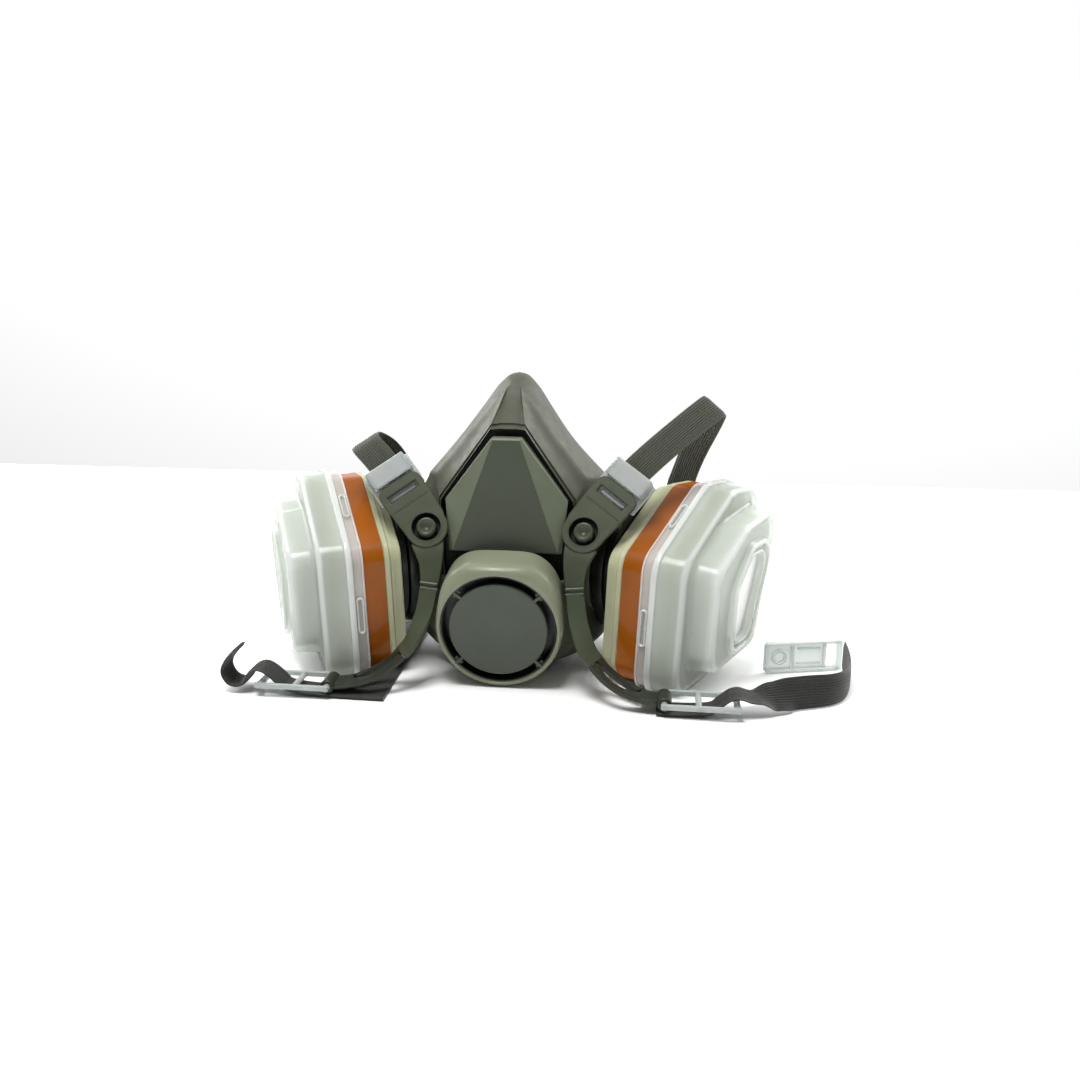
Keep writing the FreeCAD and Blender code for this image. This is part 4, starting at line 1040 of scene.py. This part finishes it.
def build_yoke():
    parts = []
    for side, sign in SIDES:
        parts.append(swept(ARM, sign))
        web = [((17.5, 5.0, 35.0), (0.0, -0.7, 4.5)), ((26.8, 4.2, 38.0), (0.0, -0.7, 4.5)),
               ((28.9, -2.0, 39.5), (0.0, 0.6, 4.5))]
        parts.append(swept(web, sign))
        # The wrist, the slotted forearm and the pin take the darker copy of the yoke plastic: painted shade on the
        # arm's low end.
        tips = [swept(stations, sign)
                for stations in (WRIST, strand(FOREARM, 1), strand(FOREARM, -1))]
        tips.append(turned(PIN, [(1.55, -5.2), (2.4, -5.2), (2.7, -4.9), (2.7, 4.9),
                                     (2.4, 5.2), (1.55, 5.2)], 32, sign))
        points, faces = joined(tips)
        piece(f"yoke_tip_{side}", points, faces, SHADED_TIP, "mask", [], "yoke", angle=36)
        for lift in (-1.1, 1.1):
            ridge = basis((28.8, -3.9, 39.2 + lift), unit((1, 0.06, 0.08)), unit((0, 0.1, 1)),
                          unit((0, -1, 0.1)))
            parts.append(stadium(ridge, (0, 0), 7.6, 1.1, -0.9, 0.55, sign))
        parts.append(stadium(PLATE, (0.1, -5.6), 17.0, 0.7, 0.9, 1.25, sign))
        parts.append(turned(PLATE, [(5.8, 0.8), (5.8, 1.05), (6.0, 1.2), (6.3, 1.2), (6.5, 1.05),
                                    (6.5, 0.8)], 48, sign, start=STUD_AT))
    parts.append(turned(EXHALE, [(18.1, -19.4), (24.0, -19.4), (24.0, -17.2), (18.1, -17.2)]))
    points, faces = joined(parts)
    piece("yoke", points, faces, YOKE, "mask", ["harness_yoke"], "yoke", angle=36)
    for side, sign in SIDES:
        points, faces = plate_solid(sign)
        piece(f"yoke_plate_{side}", points, faces, YOKE, "mask", [], "yoke", bevel=0.45)
        stud = turned(PLATE, [(0.01, -0.2), (1.0, -0.05), (1.7, 0.55), (2.3, 1.15), (3.0, 1.4),
                              (3.6, 1.15), (4.0, 0.4), (4.1, -0.6), (4.1, -9.0), (0.01, -9.0)],
                      40, sign, closed=False, start=STUD_AT)
        piece(f"stud_{side}", *stud, YOKE, "mask", [f"harness_stud_{side}"], "stud")
        # A black ring under the plate, seen through the gap round the stud: painted shade.
        shade_well = turned(PLATE, [(4.15, -3.4), (8.6, -3.4), (8.6, -1.2), (6.0, -1.2), (6.0, -2.6),
                              (4.15, -2.6)], 40, sign, start=STUD_AT)
        piece(f"stud_well_{side}", *shade_well, BLACK_AND_SHADE, "mask", [], "stud")


def build_buckles():
    for side, sign in SIDES:
        parts = [brick(PLATE, (0, 10.5, 1.6), (17.8, 8.2, 1.5), sign),
                 brick(PLATE, (0, 0, -2.0), (11.8, 1.5, 2.2), sign),
                 brick(PLATE, (0, 7.2, -2.9), (20.8, 14.2, 1.5), sign),
                 brick(PLATE, (-8.1, 10.6, -0.6), (1.7, 7.9, 5.6), sign),
                 brick(PLATE, (8.1, 10.6, -0.6), (1.7, 7.9, 5.6), sign)]
        points, faces = joined(parts)
        piece(f"strap_buckle_{side}", points, faces, BUCKLE, f"strap_buckle_{side}",
              [f"upper_buckle_{side}"], "buckle", bevel=0.6)
        parts = [brick(PIN, (13.4, 0.2, 7.4), (29.4, 2.2, 1.4), sign),
                 brick(PIN, (13.4, 0.2, -7.4), (29.4, 2.2, 1.4), sign)]
        for reach, radius in ((0, 1.35), (12.6, 1.2), (26.6, 1.3)):
            parts.append(turned(PIN, [(0.01, -7.6), (radius, -7.6), (radius, 7.6), (0.01, 7.6)],
                                24, sign, closed=False, start=(reach, 0)))
        points, faces = joined(parts)
        piece(f"neck_buckle_{side}", points, faces, BUCKLE, f"neck_buckle_{side}",
              [f"lower_buckle_{side}"], "buckle", bevel=0.4)


def build_hook():
    """The neck clasp: a thin plate with a raised border, a round boss and a strap slot."""
    start, tip = Vector((136.6, 30.4, 6.9)), Vector((103.6, 21.0, 6.9))
    along = (tip - start).normalized()
    place = basis(start, along, Vector((0, 0, 1)), along.cross(Vector((0, 0, 1))) * -1)
    parts = [brick(place, (20.0, 0, -0.3), (26.0, 11.0, 1.0)),
             brick(place, (1.3, 0, 0), (2.6, 12.4, 2.8))]
    for side in (-1, 1):
        parts.append(brick(place, (16.6, side * 5.6, 0), (31.4, 1.3, 2.8)))
    for reach in (7.4, 21.2, 32.2):
        parts.append(brick(place, (reach, 0, 0), (1.2, 11.0, 2.4)))
    for side in (-1, 1):
        parts.append(brick(place, (14.2, side * 3.2, 0.4), (10.0, 0.8, 1.4)))
    parts.append(turned(place, [(2.0, -0.6), (3.4, -0.6), (3.4, 1.0), (3.1, 1.3), (2.3, 1.3),
                                (2.0, 1.0)], 32, start=(26.8, 0)))
    points, faces = joined(parts)
    piece("hook_plate", points, faces, CLASP, "hook_clasp", ["clasp_hook"], "buckle", bevel=0.3)


FOLD_WAY = (0.71, -0.40, -0.58)
FLOOR_WAY, EDGE_WAY, ACROSS = (0, 1, 0), (0, 0, 1), (1, 0, 0)
ROUTES = {
    "upper_strap_right": [
        (45.9, 13.4, 78.4, SLOT_WAY), (51.5, 16.4, 85.0, SLOT_WAY), (80.5, 37.5, 107.5, FOLD_WAY),
        (82.0, 41, 106.5, FOLD_WAY), (72, 72, 78, FOLD_WAY), (66, 86, 46, (0.9, 0.3, -0.2)),
        (63, 93, 15.8, ACROSS)],
    "upper_strap_left": [
        (-45.9, 13.4, 78.4, LEFT_SLOT_WAY), (-51.5, 16.4, 85.0, LEFT_SLOT_WAY),
        (-63.5, 24, 94, (-0.76, -0.4, -0.5)), (-53.5, 48, 84, (-0.95, 0.1, -0.3)),
        (-54, 74, 52, (-0.95, 0.1, -0.2)), (-63, 93, 15.8, (-1, 0, 0))],
    "neck_strap_right": [
        (61.5, -23.3, 0.8, FLOOR_WAY), (81, -23.3, 0.8, FLOOR_WAY), (84.4, -23.3, 4.6, FLOOR_WAY),
        (90, -23.3, 9.0, FLOOR_WAY), (97.5, -21, 6.0, FLOOR_WAY), (105, -18, 5.8, (0, 0.8, 0.6)),
        (114, -15, 6.7, (0, 0.3, 1)), (132, -9, 6.8, EDGE_WAY), (137.5, 12, 6.7, EDGE_WAY),
        (137.6, 28.5, 6.7, EDGE_WAY)],
    "neck_strap_left": [
        (-101, -23.3, 17, FLOOR_WAY), (-107.5, -23.3, 11, FLOOR_WAY),
        (-105, -23.3, 3.4, FLOOR_WAY), (-98.5, -23.3, 2.6, FLOOR_WAY),
        (-95.8, -23.3, 8.6, FLOOR_WAY), (-91, -23.3, 10.6, FLOOR_WAY),
        (-84.6, -23.3, 5.8, FLOOR_WAY), (-80.6, -23.3, 0.8, FLOOR_WAY),
        (-42, -23.3, 0.8, FLOOR_WAY)],
    "neck_lead_left": [
        (-48.4, -19.6, 0.84, ACROSS), (-48.4, 20, 0.84, ACROSS), (-48.4, 63.8, 0.84, ACROSS)],
}
ENDS = {"upper_strap_right": "object", "upper_strap_left": "object", "neck_strap_right": "fitting",
        "neck_strap_left": "fitting"}


def build_straps():
    for name, far_end in ENDS.items():
        points, faces, uv, line = strap_mesh(ROUTES[name])
        held = [frame["nodes"]["clasp_hook"]]
        if name == "neck_strap_left":
            tail = len(points)
            more, more_faces, more_uv, _ = strap_mesh(ROUTES["neck_lead_left"])
            points += more
            faces += [tuple(tail + i for i in face) for face in more_faces]
            uv += more_uv
            corner = [(-64, -23.3, 0.8), (-50, -23.3, 0.8), (-48.4, -21.8, 0.84)]
            line = curve_line([r[:3] for r in ROUTES[name][:-1] + corner
                               + ROUTES["neck_lead_left"][1:]])
            held = [frame["nodes"]["clasp_loop"]]
        webbing = NECK_STRAP if name.startswith("neck") else STRAP
        obj = piece(name + "_web", points, faces, webbing, "mask", [name], "webbing", angle=60,
                    uv=uv)
        total = sum((b - a).length for a, b in zip(line, line[1:]))
        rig.cord(obj, exit=line[0], length=total, diameter=STRAP_WIDTH / 1000, far_end=far_end,
                stiffness="medium", lay="loose", path=line,
                with_pieces=held if far_end == "fitting" else [])
        print(f"{name}: {total * 1000:.1f} mm")


# ---------------------------------------------------------------- carried-over pieces

CARRIED = {
    "exhalation_seat": PANEL, "exhalation_flap": FLAP, "head_cradle": CRADLE,
    "clasp_loop": BUCKLE, "inhalation_port": BLACK_AND_SHADE, "port_gasket": FLAP,
    "inhalation_flap": FLAP, "cartridge_base": CREAM, "carbon_bed": CARBON,
    "cartridge_grille": CREAM,
}


def dress_frame():
    for name, obj in frame["nodes"].items():
        stem = name.replace("_right", "").replace("_left", "")
        if stem in CARRIED:
            for slot in obj.material_slots:
                slot.material = CARRIED[stem]


# ---------------------------------------------------------------- stage

def area_light(name, place, aim, size, power):
    data = bpy.data.lights.new(name, "AREA")
    data.shape, data.size, data.energy = "SQUARE", size, power
    obj = bpy.data.objects.new(name, data)
    bpy.context.scene.collection.objects.link(obj)
    obj.location = place
    obj.rotation_euler = (Vector(aim) - Vector(place)).to_track_quat("-Z", "Y").to_euler()


def build_stage():
    mesh = bpy.data.meshes.new("floor")
    mesh.from_pydata([(-3, -3, 0), (3, -3, 0), (3, 0.42, 0), (-3, 0.42, 0)], [], [(0, 1, 2, 3)])
    material, tree, surface = shader("floor")
    wire(tree, ramp(tree, noise(tree, 3.0), (0.90, 0.90, 0.90), (0.93, 0.93, 0.93)),
         surface.inputs["Base Color"])
    surface.inputs["Roughness"].default_value = 0.9
    mesh.materials.append(material)
    floor = bpy.data.objects.new("floor", mesh)
    bpy.context.scene.collection.objects.link(floor)
    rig.stage(floor)
    world = bpy.data.worlds.new("studio")
    world.use_nodes = True
    tree = world.node_tree
    where = tree.nodes.new("ShaderNodeTexCoord")
    lean = tree.nodes.new("ShaderNodeVectorMath")
    lean.operation = "DOT_PRODUCT"
    lean.inputs[1].default_value = (0.0, 0.75, 0.66)
    wire(tree, where.outputs["Generated"], lean.inputs[0])
    glow = ramp(tree, lean.outputs["Value"], (0.22, 0.22, 0.22), (1, 1, 1), 0.0, 0.62)
    wire(tree, glow, tree.nodes["Background"].inputs["Color"])
    tree.nodes["Background"].inputs["Strength"].default_value = 1.0
    bpy.context.scene.world = world
    area_light("key", (-0.12, -0.25, 0.90), (0, 0, 0.05), 0.35, 8.0)
    for name, x in (("rim_left", -0.6), ("rim_right", 0.6)):
        area_light(name, (x, 0.45, 0.45), (0, 0.02, 0.07), 0.5, 5.0)


def build_camera():
    """The photo's view: from 8 degrees to the object's right and 14 degrees above."""
    yaw, rise, reach = math.radians(8), math.radians(14), CAMERA_REACH / 1000
    centre = Vector((0, -SETBACK / 1000, 0.058))
    toward = Vector((math.sin(yaw) * math.cos(rise), -math.cos(yaw) * math.cos(rise),
                     math.sin(rise)))
    data = bpy.data.cameras.new("camera")
    data.sensor_width = SENSOR
    data.lens = SENSOR * PIXELS_PER_MM * CAMERA_REACH / FRAME_PIXELS
    data.shift_x = 37.6 / FRAME_PIXELS
    obj = bpy.data.objects.new("camera", data)
    bpy.context.scene.collection.objects.link(obj)
    obj.location = centre + toward * reach
    obj.rotation_euler = (-toward).to_track_quat("-Z", "Y").to_euler()
    bpy.context.scene.camera = obj


bpy.context.scene.view_settings.view_transform = "Standard"
build_camera()
build_straps()
build_facepiece()
build_panel()
build_cover()
for side, sign in SIDES:
    build_stack(side, sign)
    build_port(side, sign)
build_yoke()
build_buckles()
build_hook()
dress_frame()
build_stage()
FINAL = [list(corner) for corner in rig.bounds()]
json.dump({"loaded": LOADED, "final": FINAL}, open("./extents.json", "w"))
